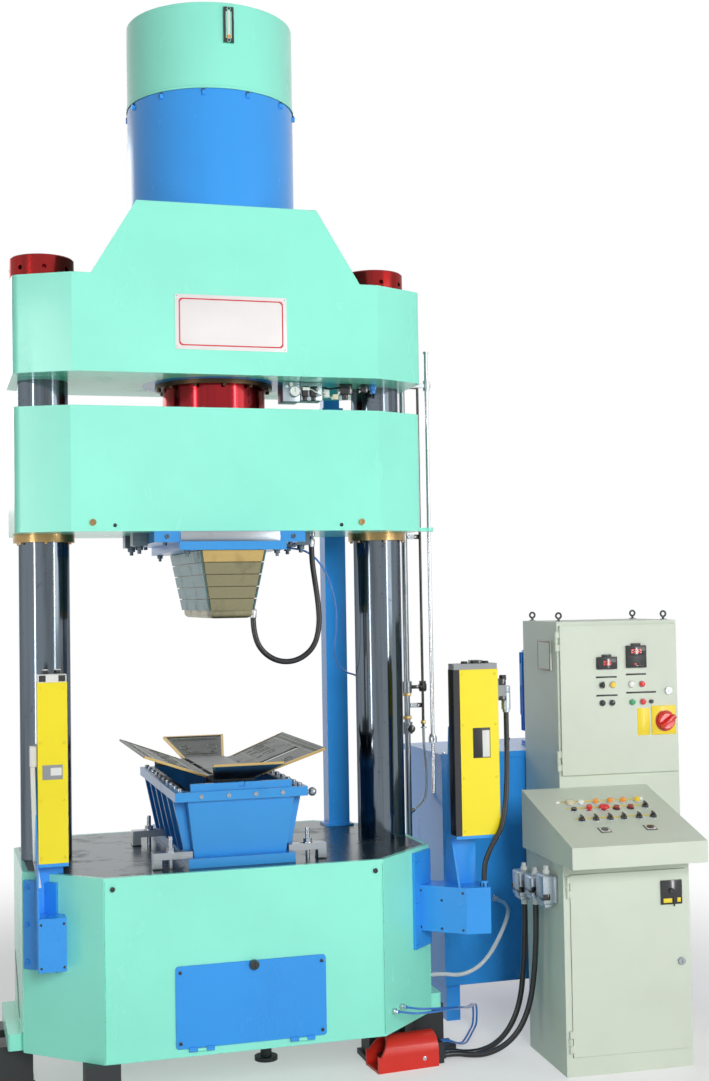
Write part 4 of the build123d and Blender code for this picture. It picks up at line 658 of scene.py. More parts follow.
class Solid:
    """Mesh under construction, in millimetres of its own place."""

    def __init__(self, place: Optional[Matrix] = None) -> None:
        """Start empty at a place, by default the press's own frame."""
        self.bm = bmesh.new()
        self.place = place or Matrix.Identity(4)

    def _take(self, verts: Iterable[bmesh.types.BMVert], move: Matrix) -> None:
        """Move new vertices into place."""
        bmesh.ops.transform(self.bm, matrix=move, verts=list(verts))

    def box(self, x: Span, y: Span, z: Span, bevel: float = 1.0, turn: Optional[Matrix] = None,
            steps: int = 2) -> "Solid":
        """Block with rounded edges.

        Args:
            x: Limits along X.
            y: Limits along Y.
            z: Limits along Z.
            bevel: Radius of its edges.
            turn: A further place for this block alone.
            steps: Segments of a rounded edge.

        Returns:
            This solid.
        """
        made = bmesh.ops.create_cube(self.bm, size=1.0)["verts"]
        size = Matrix.Diagonal((x[1] - x[0], y[1] - y[0], z[1] - z[0], 1.0))
        middle = Matrix.Translation((sum(x) / 2, sum(y) / 2, sum(z) / 2))
        self._take(made, middle @ size)
        if bevel:
            edges = dict.fromkeys(edge for vert in made for edge in vert.link_edges)
            reach = min(bevel, 0.45 * min(x[1] - x[0], y[1] - y[0], z[1] - z[0]))
            done = bmesh.ops.bevel(self.bm, geom=list(edges), offset=reach, segments=steps, profile=0.5,
                                   affect="EDGES", clamp_overlap=True)
            made = dict.fromkeys(vert for face in done["faces"] for vert in face.verts)
        self._take(made, self.place @ (turn or Matrix.Identity(4)))
        return self

    def turned(self, profile: Sequence[tuple[float, float]], move: Matrix, steps: int = 32) -> "Solid":
        """Body turned about its own Z axis.

        Args:
            profile: Pairs of radius and height, from one end to the other.
            move: Where its axis stands.
            steps: Segments round it.

        Returns:
            This solid.
        """
        rings = []
        made = []
        for radius, height in profile:
            if radius < 1e-6:
                ring = [self.bm.verts.new((0.0, 0.0, height))]
            else:
                ring = [self.bm.verts.new((radius * math.cos(2 * math.pi * k / steps),
                                           radius * math.sin(2 * math.pi * k / steps),
                                           height)) for k in range(steps)]
            rings.append(ring)
            made += ring
        for low, high in zip(rings, rings[1:]):
            for k in range(steps):
                corners = [low[k % len(low)], low[(k + 1) % len(low)], high[(k + 1) % len(high)],
                           high[k % len(high)]]
                kept = list(dict.fromkeys(corners))
                if len(kept) > 2:
                    self.bm.faces.new(kept)
        for ring in (rings[0], rings[-1]):
            if len(ring) > 2:
                self.bm.faces.new(ring)
        self._take(made, self.place @ move)
        return self

    def prism(self, outline: Sequence[tuple[float, float]], height: Span, move: Optional[Matrix] = None,
              bevel: float = 0.0) -> "Solid":
        """Upright prism over an outline.

        Args:
            outline: Corners of the outline.
            height: Limits along its own Z.
            move: Where it stands.
            bevel: Radius of its edges.

        Returns:
            This solid.
        """
        low = [self.bm.verts.new((x, y, height[0])) for x, y in outline]
        high = [self.bm.verts.new((x, y, height[1])) for x, y in outline]
        faces = [self.bm.faces.new(low[::-1]), self.bm.faces.new(high)]
        for k in range(len(outline)):
            follow = (k + 1) % len(outline)
            faces.append(self.bm.faces.new((low[k], low[follow], high[follow], high[k])))
        made = low + high
        if bevel:
            edges = dict.fromkeys(edge for face in faces for edge in face.edges)
            done = bmesh.ops.bevel(self.bm, geom=list(edges), offset=bevel, segments=2, profile=0.5,
                                   affect="EDGES", clamp_overlap=True)
            made = dict.fromkeys(vert for face in done["faces"] for vert in face.verts)
        self._take(made, self.place @ (move or Matrix.Identity(4)))
        return self

    def wire(self, points: Sequence[Point], radius: float, steps: int = 8) -> "Solid":
        """Round wire along points, with a ring of vertices at each.

        Args:
            points: Middle line, in millimetres.
            radius: Half the wire's thickness.
            steps: Vertices in a ring.

        Returns:
            This solid.
        """
        line = [Vector(p) for p in points]
        rings = []
        side = None
        for index, spot in enumerate(line):
            ahead = line[min(index + 1, len(line) - 1)] - line[max(index - 1, 0)]
            ahead.normalize()
            if side is None:
                side = ahead.orthogonal().normalized()
            side = (side - ahead * side.dot(ahead)).normalized()
            up = ahead.cross(side)
            rings.append([self.bm.verts.new(spot + radius * (math.cos(2 * math.pi * k / steps) * side
                                                             + math.sin(2 * math.pi * k / steps) * up))
                          for k in range(steps)])
        for low, high in zip(rings, rings[1:]):
            for k in range(steps):
                self.bm.faces.new((low[k], low[(k + 1) % steps], high[(k + 1) % steps], high[k]))
        self.bm.faces.new(rings[0][::-1])
        self.bm.faces.new(rings[-1])
        self._take([vert for ring in rings for vert in ring], self.place)
        return self

    def hull(self, points: Sequence[Point]) -> "Solid":
        """Convex solid round points.

        Args:
            points: Points to close round, in millimetres.

        Returns:
            This solid.
        """
        verts = [self.bm.verts.new(spot) for spot in points]
        done = bmesh.ops.convex_hull(self.bm, input=verts)
        for vert in (item for item in done["geom_interior"] if isinstance(item, bmesh.types.BMVert)):
            self.bm.verts.remove(vert)
        self._take([vert for vert in verts if vert.is_valid], self.place)
        return self

    def hexagon(self, across: float, height: Span, move: Matrix) -> "Solid":
        """Hexagon bar with eased edges.

        Args:
            across: Width across the flats.
            height: Bottom and top along its own Z.
            move: Place of its own frame.

        Returns:
            This solid.
        """
        reach = across / math.sqrt(3)
        outline = [(reach * math.cos(math.radians(60 * k)),
                    reach * math.sin(math.radians(60 * k))) for k in range(6)]
        return self.prism(outline, height, move, bevel=min(1.0, across * 0.05))

    def socket_screw(self, move: Matrix, radius: float) -> "Solid":
        """Cap screw head with its hexagon socket, standing on its own Z.

        Args:
            move: Place of its seat, own Z outward.
            radius: Radius of the head.

        Returns:
            This solid.
        """
        tall = radius * 1.2
        deep = tall * 0.45
        self.turned([(radius, 0), (radius, tall - 0.6), (radius - 0.6, tall), (radius * 0.55, tall),
                     (radius * 0.5, tall - deep), (0, tall - deep)], move, 18)
        return self

    def make(self, name: str, finish: Finish, body: str = "frame", slot: Optional[str] = None,
             smooth: float = 35.0, replaces: Sequence[str] = ()) -> bpy.types.Object:
        """Close the mesh and put it on its body.

        Args:
            name: The piece's name.
            finish: Its finish.
            body: The CAD body that it rides on.
            slot: The record's material slot, where it isn't the finish's usual one. Not used.
            smooth: Edges sharper than this stay sharp, in degrees.
            replaces: CAD nodes that it stands for.

        Returns:
            The new object.
        """
        bmesh.ops.recalc_face_normals(self.bm, faces=self.bm.faces)
        mesh = bpy.data.meshes.new(name)
        self.bm.to_mesh(mesh)
        self.bm.free()
        mesh.transform(Matrix.Scale(MM, 4))
        mesh.shade_smooth()
        mesh.set_sharp_from_angle(angle=math.radians(smooth))
        made = bpy.data.objects.new(name, mesh)
        bpy.context.scene.collection.objects.link(made)
        made.data.materials.append(finish.material())
        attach(made, body)
        if replaces:
            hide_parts(*replaces)
        log.info("made %s on %s", name, body)
        return made


def at(x: float, y: float, z: float) -> Matrix:
    """Place at a point, axis up."""
    return Matrix.Translation((x, y, z))


def facing_front(x: float, y: float, z: float) -> Matrix:
    """Place whose own Z points to the front."""
    return Matrix.Translation((x, y, z)) @ Matrix.Rotation(math.radians(90), 4, "X")


def facing_right(x: float, y: float, z: float) -> Matrix:
    """Place whose own Z points to the right."""
    return Matrix.Translation((x, y, z)) @ Matrix.Rotation(math.radians(90), 4, "Y")


def facing_left(x: float, y: float, z: float) -> Matrix:
    """Place whose own Z points to the left."""
    return Matrix.Translation((x, y, z)) @ Matrix.Rotation(math.radians(-90), 4, "Y")


def hanging(x: float, y: float, z: float) -> Matrix:
    """Place whose own Z points down."""
    return Matrix.Translation((x, y, z)) @ Matrix.Rotation(math.radians(180), 4, "X")


def mirrored(side: int, near: float, far: float) -> Span:
    """Limits of a stretch on one side of the middle, lowest first."""
    return (near, far) if side > 0 else (-far, -near)


# Driving places of the press, in millimetres
BASE_CORNER_X = 506.0
BASE_CORNER_Y = 510.0
BASE_SIDE_X = 769.0
BASE_SIDE_Y = 262.0
CROWN_FACE_Y = -325.0
DESK_ORIGIN = (1176.2, -611.5, 0)
DESK_TURN = -3.32
PANEL_FRONT_Y = -139.0
PANEL_REAR_Y = 400.0
PANEL_FRONT_Z = 868.0
PANEL_REAR_Z = 1012.0
PEDAL_ORIGIN = (527, -345, 0)
PEDAL_TURN = 5.0
DESK = Matrix.Translation(DESK_ORIGIN) @ Matrix.Rotation(math.radians(DESK_TURN), 4, "Z")
PANEL_SLOPE = math.atan2(PANEL_REAR_Z - PANEL_FRONT_Z, PANEL_REAR_Y - PANEL_FRONT_Y)
PANEL = DESK @ Matrix.Translation((0, PANEL_FRONT_Y, PANEL_FRONT_Z)) @ Matrix.Rotation(PANEL_SLOPE, 4, "X")
PEDAL = Matrix.Translation(PEDAL_ORIGIN) @ Matrix.Rotation(math.radians(PEDAL_TURN), 4, "Z")


def on_panel(x: float, y: float) -> Matrix:
    """Place on the sloping desk panel, y in plan from the pedestal's front."""
    return Matrix.Translation((x, (y - PANEL_FRONT_Y) / math.cos(PANEL_SLOPE), 0))


# Studio


@dataclass(frozen=True)
class Panel:
    """One area lamp: where it stands and looks, in metres, its size and its power in watts."""

    name: str
    spot: Point
    target: Point
    wide: float
    high: float
    power: float
    mirrored: bool = True
    lights: bool = True


@dataclass
class Studio:
    """Camera, floor, lamps and white surround."""

    eye: Point = (-1.0963, -5.6750, 1.7982)
    yaw: float = 16.35
    pitch: float = 2.16
    roll: float = -0.96
    lens: float = 48.78
    floor_size: float = 60.0
    surround_light: float = 0.22
    shadow_reach: Span = (1.9, 4.5)
    near_glow: float = 0.4
    panels: Sequence[Panel] = (
        Panel("key", (0.4, -7.2, 3.4), (0.1, 0.0, 1.7), 2.2, 2.2, 290.0, mirrored=False),
        Panel("fill", (5.5, -5.0, 3.0), (0.6, 0.0, 1.4), 3.0, 3.0, 60.0),
        Panel("back", (-2.5, 6.0, 4.0), (0.0, 0.0, 1.6), 3.0, 3.0, 90.0),
        Panel("strip_left", (-4.2, -3.2, 2.0), (0.0, 0.0, 2.0), 0.35, 3.6, 60.0, lights=False),
        Panel("strip_right", (3.4, -4.6, 2.0), (0.0, 0.0, 2.0), 0.35, 3.6, 55.0, lights=False))

    def camera(self) -> None:
        """Make the camera at the photograph's viewing angle."""
        yaw, pitch, roll = (math.radians(v) for v in (self.yaw, self.pitch, self.roll))
        ahead = Vector((math.sin(yaw) * math.cos(pitch), math.cos(yaw) * math.cos(pitch), math.sin(pitch)))
        right = Vector((math.cos(yaw), -math.sin(yaw), 0))
        up = right.cross(ahead)
        tilted = math.cos(roll) * right + math.sin(roll) * up
        top = -math.sin(roll) * right + math.cos(roll) * up
        data = bpy.data.cameras.new("camera")
        data.lens = self.lens
        data.sensor_width = 36.0
        data.sensor_fit = "AUTO"
        data.clip_end = 200.0
        camera = bpy.data.objects.new("camera", data)
        axes = Matrix((tilted, top, -ahead)).transposed().to_4x4()
        camera.matrix_world = Matrix.Translation(self.eye) @ axes
        bpy.context.scene.collection.objects.link(camera)
        bpy.context.scene.camera = camera

    def surround(self) -> None:
        """White to the camera and in reflections, softer as a light."""
        world = bpy.data.worlds.new("surround")
        bpy.context.scene.world = world
        world.use_nodes = True
        graph = Graph(tree=world.node_tree)
        seen = self._seen(graph)
        light = graph.node("ShaderNodeBackground", None,
                           {"Color": (1.0, 1.0, 1.0), "Strength": self.surround_light})
        white = graph.node("ShaderNodeBackground", None, {"Color": (1.0, 1.0, 1.0), "Strength": 1.0})
        mixed = graph.node("ShaderNodeMixShader", None, {0: seen, 1: light, 2: white})
        end = graph.tree.nodes.new("ShaderNodeOutputWorld")
        graph.tree.links.new(mixed.socket, end.inputs["Surface"])

    @staticmethod
    def _seen(graph: Graph) -> Signal:
        """One for camera, glossy and transmission rays.

        Args:
            graph: Tree to add it to.

        Returns:
            The signal.
        """
        camera = graph.node("ShaderNodeLightPath", output="Is Camera Ray")
        glossy = graph.node("ShaderNodeLightPath", output="Is Glossy Ray")
        through = graph.node("ShaderNodeLightPath", output="Is Transmission Ray")
        return graph.node("ShaderNodeMath", {"operation": "MINIMUM"}, {0: camera + glossy + through, 1: 1.0})

    def floor(self) -> None:
        """Pale floor that keeps the press's shadow."""
        mesh = bpy.data.meshes.new("floor")
        half = self.floor_size / 2
        mesh.from_pydata([(-half, -half, 0), (half, -half, 0), (half, half, 0), (-half, half, 0)], [],
                         [(0, 1, 2, 3)])
        floor = bpy.data.objects.new("floor", mesh)
        bpy.context.scene.collection.objects.link(floor)
        graph = Graph("pale_floor")
        grain = graph.noise(18.0, 4.0)
        pale = graph.mix(grain * 0.2, (0.93, 0.93, 0.93), (0.9, 0.9, 0.9))
        lit = graph.node("ShaderNodeBsdfDiffuse", None, {"Color": pale})
        glow = graph.node("ShaderNodeEmission", None, {"Color": (1.0, 1.0, 1.0), "Strength": 1.0})
        reach = graph.node("ShaderNodeVectorMath", {"operation": "LENGTH"}, {0: graph.place()},
                           output="Value")
        far = reach.step(*self.shadow_reach)
        share = self._seen(graph) * (far * (1.0 - self.near_glow) + self.near_glow)
        surface = graph.node("ShaderNodeMixShader", None, {0: share, 1: lit, 2: glow})
        mesh.materials.append(graph.close(surface))

    def lamps(self) -> None:
        """A soft key beside the camera, a fill on the right and two tall strips for the round bars."""
        for panel in self.panels:
            data = bpy.data.lights.new(panel.name, "AREA")
            data.shape = "RECTANGLE"
            data.size = panel.wide
            data.size_y = panel.high
            data.energy = panel.power
            lamp = bpy.data.objects.new(panel.name, data)
            lamp.location = panel.spot
            lamp.rotation_mode = "QUATERNION"
            lamp.rotation_quaternion = (Vector(panel.target) - Vector(panel.spot)).to_track_quat("-Z", "Y")
            lamp.visible_glossy = panel.mirrored
            lamp.visible_diffuse = panel.lights
            bpy.context.scene.collection.objects.link(lamp)

    def build(self) -> None:
        """Set up the whole studio."""
        self.camera()
        self.surround()
        self.floor()
        self.lamps()
        bpy.context.scene.view_settings.view_transform = "Standard"


# Hoses, tubes and cables


@dataclass
class Cord:
    """One free hose, tube or cable on its route, in metres."""

    name: str
    route: Sequence[Point]
    diameter: float
    length: float
    finish: Finish
    slot: str
    body: str = "frame"
    stiffness: str = "medium"
    lay: str = "hanging"
    bends: Optional[tuple[Point, Point]] = None

    def _curve(self, thick: float) -> bpy.types.Curve:
        """NURBS curve along the route, with a round section of this radius.

        Args:
            thick: Radius of the section, in metres.

        Returns:
            The curve.
        """
        curve = bpy.data.curves.new(self.name, "CURVE")
        curve.dimensions = "3D"
        curve.resolution_u = 14
        curve.bevel_depth = thick
        curve.bevel_resolution = 5
        curve.use_fill_caps = True
        spline = curve.splines.new("NURBS")
        spline.points.add(len(self.route) - 1)
        for control, spot in zip(spline.points, self.route):
            control.co = (*spot, 1.0)
        spline.order_u = 3
        spline.use_endpoint_u = True
        return curve

    def line(self) -> list[Point]:
        """Points on the route's own smooth line.

        Returns:
            The points, in metres.
        """
        probe = bpy.data.objects.new("probe", self._curve(0.0))
        bpy.context.scene.collection.objects.link(probe)
        bpy.context.view_layer.update()
        mesh = bpy.data.meshes.new_from_object(probe.evaluated_get(bpy.context.evaluated_depsgraph_get()))
        points = [tuple(vert.co) for vert in mesh.vertices]
        bpy.data.objects.remove(probe)
        bpy.data.meshes.remove(mesh)
        return points

    def build(self) -> bpy.types.Object:
        """Returns:
            The cord.
        """
        made = bpy.data.objects.new(f"{self.name}_line", self._curve(self.diameter / 2))
        bpy.context.scene.collection.objects.link(made)
        path = None
        if self.bends:
            path = self.line()
            bpy.context.view_layer.update()
            mesh = bpy.data.meshes.new_from_object(made.evaluated_get(bpy.context.evaluated_depsgraph_get()))
            mesh.shade_smooth()
            bpy.data.objects.remove(made)
            made = bpy.data.objects.new(f"{self.name}_line", mesh)
            bpy.context.scene.collection.objects.link(made)
        made.data.materials.clear()
        made.data.materials.append(self.finish.material())
        if self.bends:
            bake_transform(made)
        else:
            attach(made, self.body)
        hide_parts(self.name)
        log.info("laid %s, %.2f m", self.name, self.length)
        return made


@dataclass
class Cords:
    """All nine free cords of the plant."""

    cords: list[Cord] = field(default_factory=lambda: [
        Cord("press_hose", [
            (0.362, -0.1, 2.022), (0.362, -0.1, 1.945), (0.373, -0.103, 1.86), (0.387, -0.098, 1.77),
            (0.39, -0.101, 1.68), (0.365, -0.104, 1.596), (0.298, -0.098, 1.546), (0.217, -0.101, 1.546),
            (0.15, -0.099, 1.594), (0.124, -0.1, 1.668), (0.124, -0.1, 1.722)],
             0.022, 0.8, HOSE_RUBBER, "black_hose", "crosshead"),
        Cord("punch_tube", [
            (0.25, -0.03, 1.992), (0.32, -0.03, 1.992), (0.386, -0.024, 1.966), (0.436, -0.016, 1.908),
            (0.47, -0.008, 1.83), (0.489, 0.0, 1.745), (0.49, 0.008, 1.66), (0.481, 0.02, 1.582),
            (0.5, 0.046, 1.518), (0.548, 0.084, 1.486), (0.598, 0.13, 1.474), (0.63, 0.188, 1.458),
            (0.655, 0.245, 1.44), (0.686, 0.298, 1.422), (0.73, 0.338, 1.408), (0.782, 0.355, 1.4),
            (0.842, 0.355, 1.4)],
             0.008, 1.13, BLUE_TUBE, "blue_tube", "crosshead",
             bends=((0.842, 0.355, 1.4), (0.25, -0.03, 1.992))),
        Cord("curtain_cable", [
            (1.048, -0.4, 1.341), (1.048, -0.4, 1.262), (1.045, -0.408, 1.17), (1.036, -0.422, 1.075),
            (1.022, -0.438, 0.98), (1.0, -0.45, 0.905), (0.972, -0.453, 0.868), (0.944, -0.453, 0.82),
            (0.925, -0.45, 0.768), (0.925, -0.45, 0.716)],
             0.02, 0.652, HOSE_RUBBER, "black_hose"),
        Cord("service_hose", [
            (0.969, 0.355, 1.225), (0.969, 0.355, 1.16), (0.975, 0.356, 1.095), (0.979, 0.354, 1.03),
            (0.979, 0.355, 0.975), (0.974, 0.355, 0.928), (0.9558, 0.355, 0.895), (0.9212, 0.355, 0.875)],
             0.012, 0.374, CLEAR, "clear_tube"),
        Cord("clear_hose", [
            (0.805, -0.15, 0.3), (0.86, -0.15, 0.3), (0.925, -0.156, 0.288), (0.99, -0.16, 0.306),
            (1.045, -0.156, 0.345), (1.09, -0.14, 0.395), (1.13, -0.112, 0.44), (1.168, -0.068, 0.474),
            (1.2, -0.01, 0.496), (1.216, 0.056, 0.506), (1.22, 0.112, 0.505), (1.22, 0.172, 0.505)],
             0.016, 0.71, CLEAR, "clear_tube"),
        Cord("pedal_tube_a", [
            (0.5658, -0.4891, 0.268), (0.585, -0.5095, 0.268), (0.619, -0.517, 0.264), (0.672, -0.502, 0.258),
            (0.738, -0.461, 0.248), (0.805, -0.401, 0.234), (0.863, -0.326, 0.212), (0.911, -0.244, 0.188),
            (0.958, -0.158, 0.16), (1.002, -0.068, 0.134), (1.042, 0.014, 0.114), (1.078, 0.08, 0.102),
            (1.092, 0.103, 0.093), (1.1, 0.118, 0.069), (1.1, 0.118, 0.04), (1.092, 0.103, 0.017),
            (1.078, 0.08, 0.008), (1.046, 0.024, 0.0086), (1.004, -0.05, 0.008), (0.958, -0.128, 0.01),
            (0.902, -0.192, 0.034), (0.8521, -0.2282, 0.062), (0.8082, -0.2321, 0.062)],
             0.008, 1.434, BLUE_TUBE, "blue_tube", lay="loose"),
        Cord("pedal_tube_b", [
            (0.6078, -0.4496, 0.27), (0.627, -0.47, 0.27), (0.659, -0.476, 0.266), (0.708, -0.459, 0.258),
            (0.756, -0.424, 0.246), (0.794, -0.388, 0.234), (0.85, -0.316, 0.212), (0.898, -0.235, 0.188),
            (0.945, -0.15, 0.16), (0.989, -0.06, 0.134), (1.029, 0.021, 0.114), (1.065, 0.087, 0.102),
            (1.079, 0.11, 0.093), (1.087, 0.125, 0.069), (1.087, 0.125, 0.04), (1.079, 0.11, 0.017),
            (1.065, 0.087, 0.008), (1.033, 0.031, 0.0086), (0.991, -0.043, 0.008), (0.944, -0.119, 0.01),
            (0.892, -0.176, 0.034), (0.8507, -0.2123, 0.062), (0.8068, -0.2161, 0.062)],
             0.008, 1.352, BLUE_TUBE, "blue_tube", lay="loose"),
        Cord("conduit_a", [
            (1.1606, -0.276, 0.577), (1.1606, -0.276, 0.49), (1.159, -0.268, 0.4), (1.156, -0.258, 0.31),
            (1.15, -0.25, 0.228), (1.131, -0.247, 0.15), (1.092, -0.245, 0.08), (1.036, -0.246, 0.032),
            (0.968, -0.25, 0.014), (0.902, -0.254, 0.017), (0.856, -0.25, 0.028), (0.8101, -0.254, 0.028)],
             0.022, 0.812, HOSE_RUBBER, "black_hose", lay="loose"),
        Cord("conduit_b", [
            (1.1579, -0.3921, 0.598), (1.1579, -0.3921, 0.51), (1.157, -0.384, 0.42), (1.155, -0.372, 0.335),
            (1.148, -0.36, 0.25), (1.13, -0.35, 0.17), (1.094, -0.34, 0.098), (1.04, -0.324, 0.046),
            (0.975, -0.305, 0.018), (0.915, -0.289, 0.017), (0.8609, -0.2837, 0.028),
            (0.8131, -0.2879, 0.028)],
             0.022, 0.826, HOSE_RUBBER, "black_hose", lay="loose"),
    ])

    def build(self) -> None:
        """Lay every cord."""
        for cord in self.cords:
            cord.build()


# Sub-assemblies


@dataclass
class CrownDress:
    """Bare red-edged plate on the crown, the tank's sight gauge and its small screws."""

    plate_x: Span = (-205.0, 220.0)
    plate_z: Span = (2721.0, 2927.0)
    face_y: float = CROWN_FACE_Y
    edge: float = 14.0
    line: float = 5.0
    corner: float = 14.0
    gauge_x: float = 10.5
    gauge_half: float = 19.9
    rail_wide: float = 8.8
    gauge_low: float = 3900.0
    gauge_tall: float = 106.0
    joint_screws_z: float = 3701.0
    joint_band: Span = (3712.0, 3722.0)

    def _rounded(self, inset: float) -> list[tuple[float, float]]:
        """Outline of the plate's border at an inset, with round corners.

        Args:
            inset: Distance in from the plate's edge.

        Returns:
            Pairs of x and z.
        """
        x0, x1 = self.plate_x[0] + inset, self.plate_x[1] - inset
        z0, z1 = self.plate_z[0] + inset, self.plate_z[1] - inset
        reach = self.corner
        outline = []
        for middle_x, middle_z, start in ((x1 - reach, z1 - reach, 0), (x0 + reach, z1 - reach, 90),
                                          (x0 + reach, z0 + reach, 180), (x1 - reach, z0 + reach, 270)):
            for k in range(7):
                angle = math.radians(start + 15 * k)
                outline.append((middle_x + reach * math.cos(angle), middle_z + reach * math.sin(angle)))
        return outline

    def plate(self) -> None:
        """The plate, its printed border and four rivets."""
        y = self.face_y
        Solid().box(self.plate_x, (y - 3.0, y - 0.2), self.plate_z, 0.8).make("crown_plate", PLATE_WHITE)
        outer, inner = self._rounded(self.edge), self._rounded(self.edge + self.line)
        border = Solid()
        count = len(outer)
        for k in range(count):
            follow = (k + 1) % count
            corners = [outer[k], outer[follow], inner[follow], inner[k]]
            border.hull([(x, depth, z) for x, z in corners for depth in (y - 3.3, y - 2.8)])
        border.make("crown_plate_border", PLATE_RED)
        rivets = Solid()
        for x in self.plate_x:
            for z in self.plate_z:
                spot = facing_front(x + math.copysign(8, -x), y - 2.9, z + math.copysign(8, 2824 - z))
                rivets.turned([(3.4, 0), (2.9, 1.2), (1.4, 2.0), (0, 2.2)], spot, 16)
        rivets.make("crown_plate_rivets", BRIGHT)

    def gauge(self) -> None:
        """Sight tube with its two end blocks, and the level in it."""
        ends = Solid()
        left, right = self.gauge_x - self.gauge_half, self.gauge_x + self.gauge_half
        top = self.gauge_low + self.gauge_tall
        for low, high in ((self.gauge_low - 16, self.gauge_low + 2), (top - 2, top + 16)):
            ends.box((left, right), (-338.0, -325.0), (low, high), 2.0)
            ends.socket_screw(facing_front(self.gauge_x, -337.6, (low + high) / 2), 5.0)
        ends.make("gauge_ends", BLACK_GLOSS)
        rails = Solid()
        for x in ((left, left + self.rail_wide), (right - self.rail_wide, right)):
            rails.box(x, (-337.4, -326.0), (self.gauge_low, top), 0.8)
        rails.make("gauge_rails", BLACK_GLOSS)
        foot = at(self.gauge_x, -334.5, self.gauge_low)
        tube = Solid().turned([(7.0, 0), (7.0, self.gauge_tall)], foot, 24)
        tube.make("gauge_tube", GLASS_TUBE)
        # The level takes the orange lamp finish; its faint emission is a painted glow, the level is no lamp.
        level = Solid().turned([(7.3, 0), (7.3, 12), (0, 12)], foot @ at(0, 0, 1), 24)
        level.make("gauge_level", ORANGE_CAP, slot="controls")

    def screws(self) -> None:
        """Cap screws round the joint of tank and cylinder."""
        screws = Solid()
        for turn in range(-165, 180, 30):
            push = Matrix.Rotation(math.radians(turn), 4, "Z") @ facing_front(0, -326.0, self.joint_screws_z)
            screws.turned([(9, -1), (9, 5), (8, 6.4), (5, 6.4), (4.6, 3), (0, 3)], push, 18)
        screws.make("tank_screws", DARK_STEEL, slot="black_iron")
        low, high = self.joint_band
        band = Solid().turned([(329.0, low), (330.5, low + 1.5), (330.5, high - 1.5), (329.0, high),
                               (320.0, high), (320.0, low), (329.0, low)], at(0, 0, 0), 128)
        band.make("tank_joint", MINT)

    def build(self) -> None:
        """Make the crown's and tank's small parts."""
        self.plate()
        self.gauge()
        self.screws()


@dataclass
class CrownValves:
    """Valve block in the gap under the crown, with coils, gauge, plugs and thin leads."""

    low: float = 2552.0
    high: float = 2630.6

    def block(self) -> None:
        """Aluminium block with screw plugs, its dark coils and its gauge."""
        body = Solid().box((232, 300), (-199, -112), (self.low, self.high), 2.0)
        body.box((304, 392), (-190, -120), (self.low + 6, self.high), 3.0)
        for x in (246, 266, 286):
            body.hexagon(15, (0, 6), facing_front(x, -198.5, self.low + 60))
        body.make("valve_block", ALUMINIUM, replaces=("hose_fittings",))
        coils = Solid()
        for x in (322, 356):
            coils.box((x - 14, x + 14), (-208, -176), (self.low + 20, self.low + 62), 4.0)
            coils.turned([(9, 0), (9, 14), (6, 17), (0, 17)], hanging(x, -190, self.low + 21), 24)
        coils.box((470, 520), (-175, -125), (2590, self.high), 4.0)
        coils.box((556, 585), (-170, -130), (2600, self.high), 3.0)
        coils.turned([(12, 0), (12, 18), (9, 21), (0, 21)], hanging(495, -150, 2591), 24)
        coils.make("valve_coils", BLACK_GLOSS)
        gauge = Solid().turned([(22, 0), (22, 20), (20.5, 22.5), (19, 22.5), (18.5, 20), (0, 20)],
                               facing_front(276, -199, 2590), 40)
        gauge.make("valve_gauge_case", BRIGHT)
        dial = Solid().turned([(18.2, 0), (18.2, 0.8), (0, 0.8)], facing_front(276, -219.2, 2590), 40)
        dial.make("valve_gauge_dial", PALE)
        hand = Solid().box((275.4, 276.6), (-220.6, -220.1), (2586, 2604), 0.0)
        hand.make("valve_gauge_hand", BLACK)

    def plugs(self) -> None:
        """Pale plugs, amber plug and the thin leads between them."""
        pale = Solid().box((402, 426), (-176, -150), (2574, 2606), 3.0)
        pale.box((256, 268), (-214, -204), (2610, 2626), 2.0)
        pale.box((308, 336), (-212, -206), (2596, 2608), 1.0)
        pale.make("valve_plugs", PALE)
        amber = Solid().box((440, 464), (-170, -146), (2568, 2590), 3.0)
        amber.make("valve_amber_plug", CREAM_CAP, slot="controls")
        leads = Solid()
        for k, (x, z) in enumerate(((330, 2606), (344, 2600), (360, 2608))):
            leads.wire([(x, -204, z), (x + 18, -214, z - 10 - 3 * k), (x + 44, -206, z - 24),
                        (404, -166, 2580 + 6 * k), (414, -163, 2590)], 1.7, 8)
        leads.wire([(424, -163, 2584), (434, -166, 2574), (446, -160, 2578)], 1.7, 8)
        leads.wire([(462, -158, 2580), (476, -158, 2600), (486, -156, 2612)], 1.7, 8)
        leads.make("valve_leads", PALE)
        dark = Solid().wire([(520, -150, 2612), (540, -152, 2604), (556, -150, 2614)], 3.0, 10)
        dark.wire([(392, -150, 2620), (430, -148, 2612), (470, -150, 2618)], 4.0, 10)
        dark.make("valve_dark_leads", HOSE_RUBBER)
        blue = Solid().box((600, 616), (-166, -140), (2596, 2612), 2.0)
        blue.box((596, 620), (-168, -136), (2611, self.high), 2.0)
        blue.make("blue_switch", SWITCH_BLUE, slot="blue_tube")

    def build(self) -> None:
        """Make the whole block."""
        self.block()
        self.plugs()


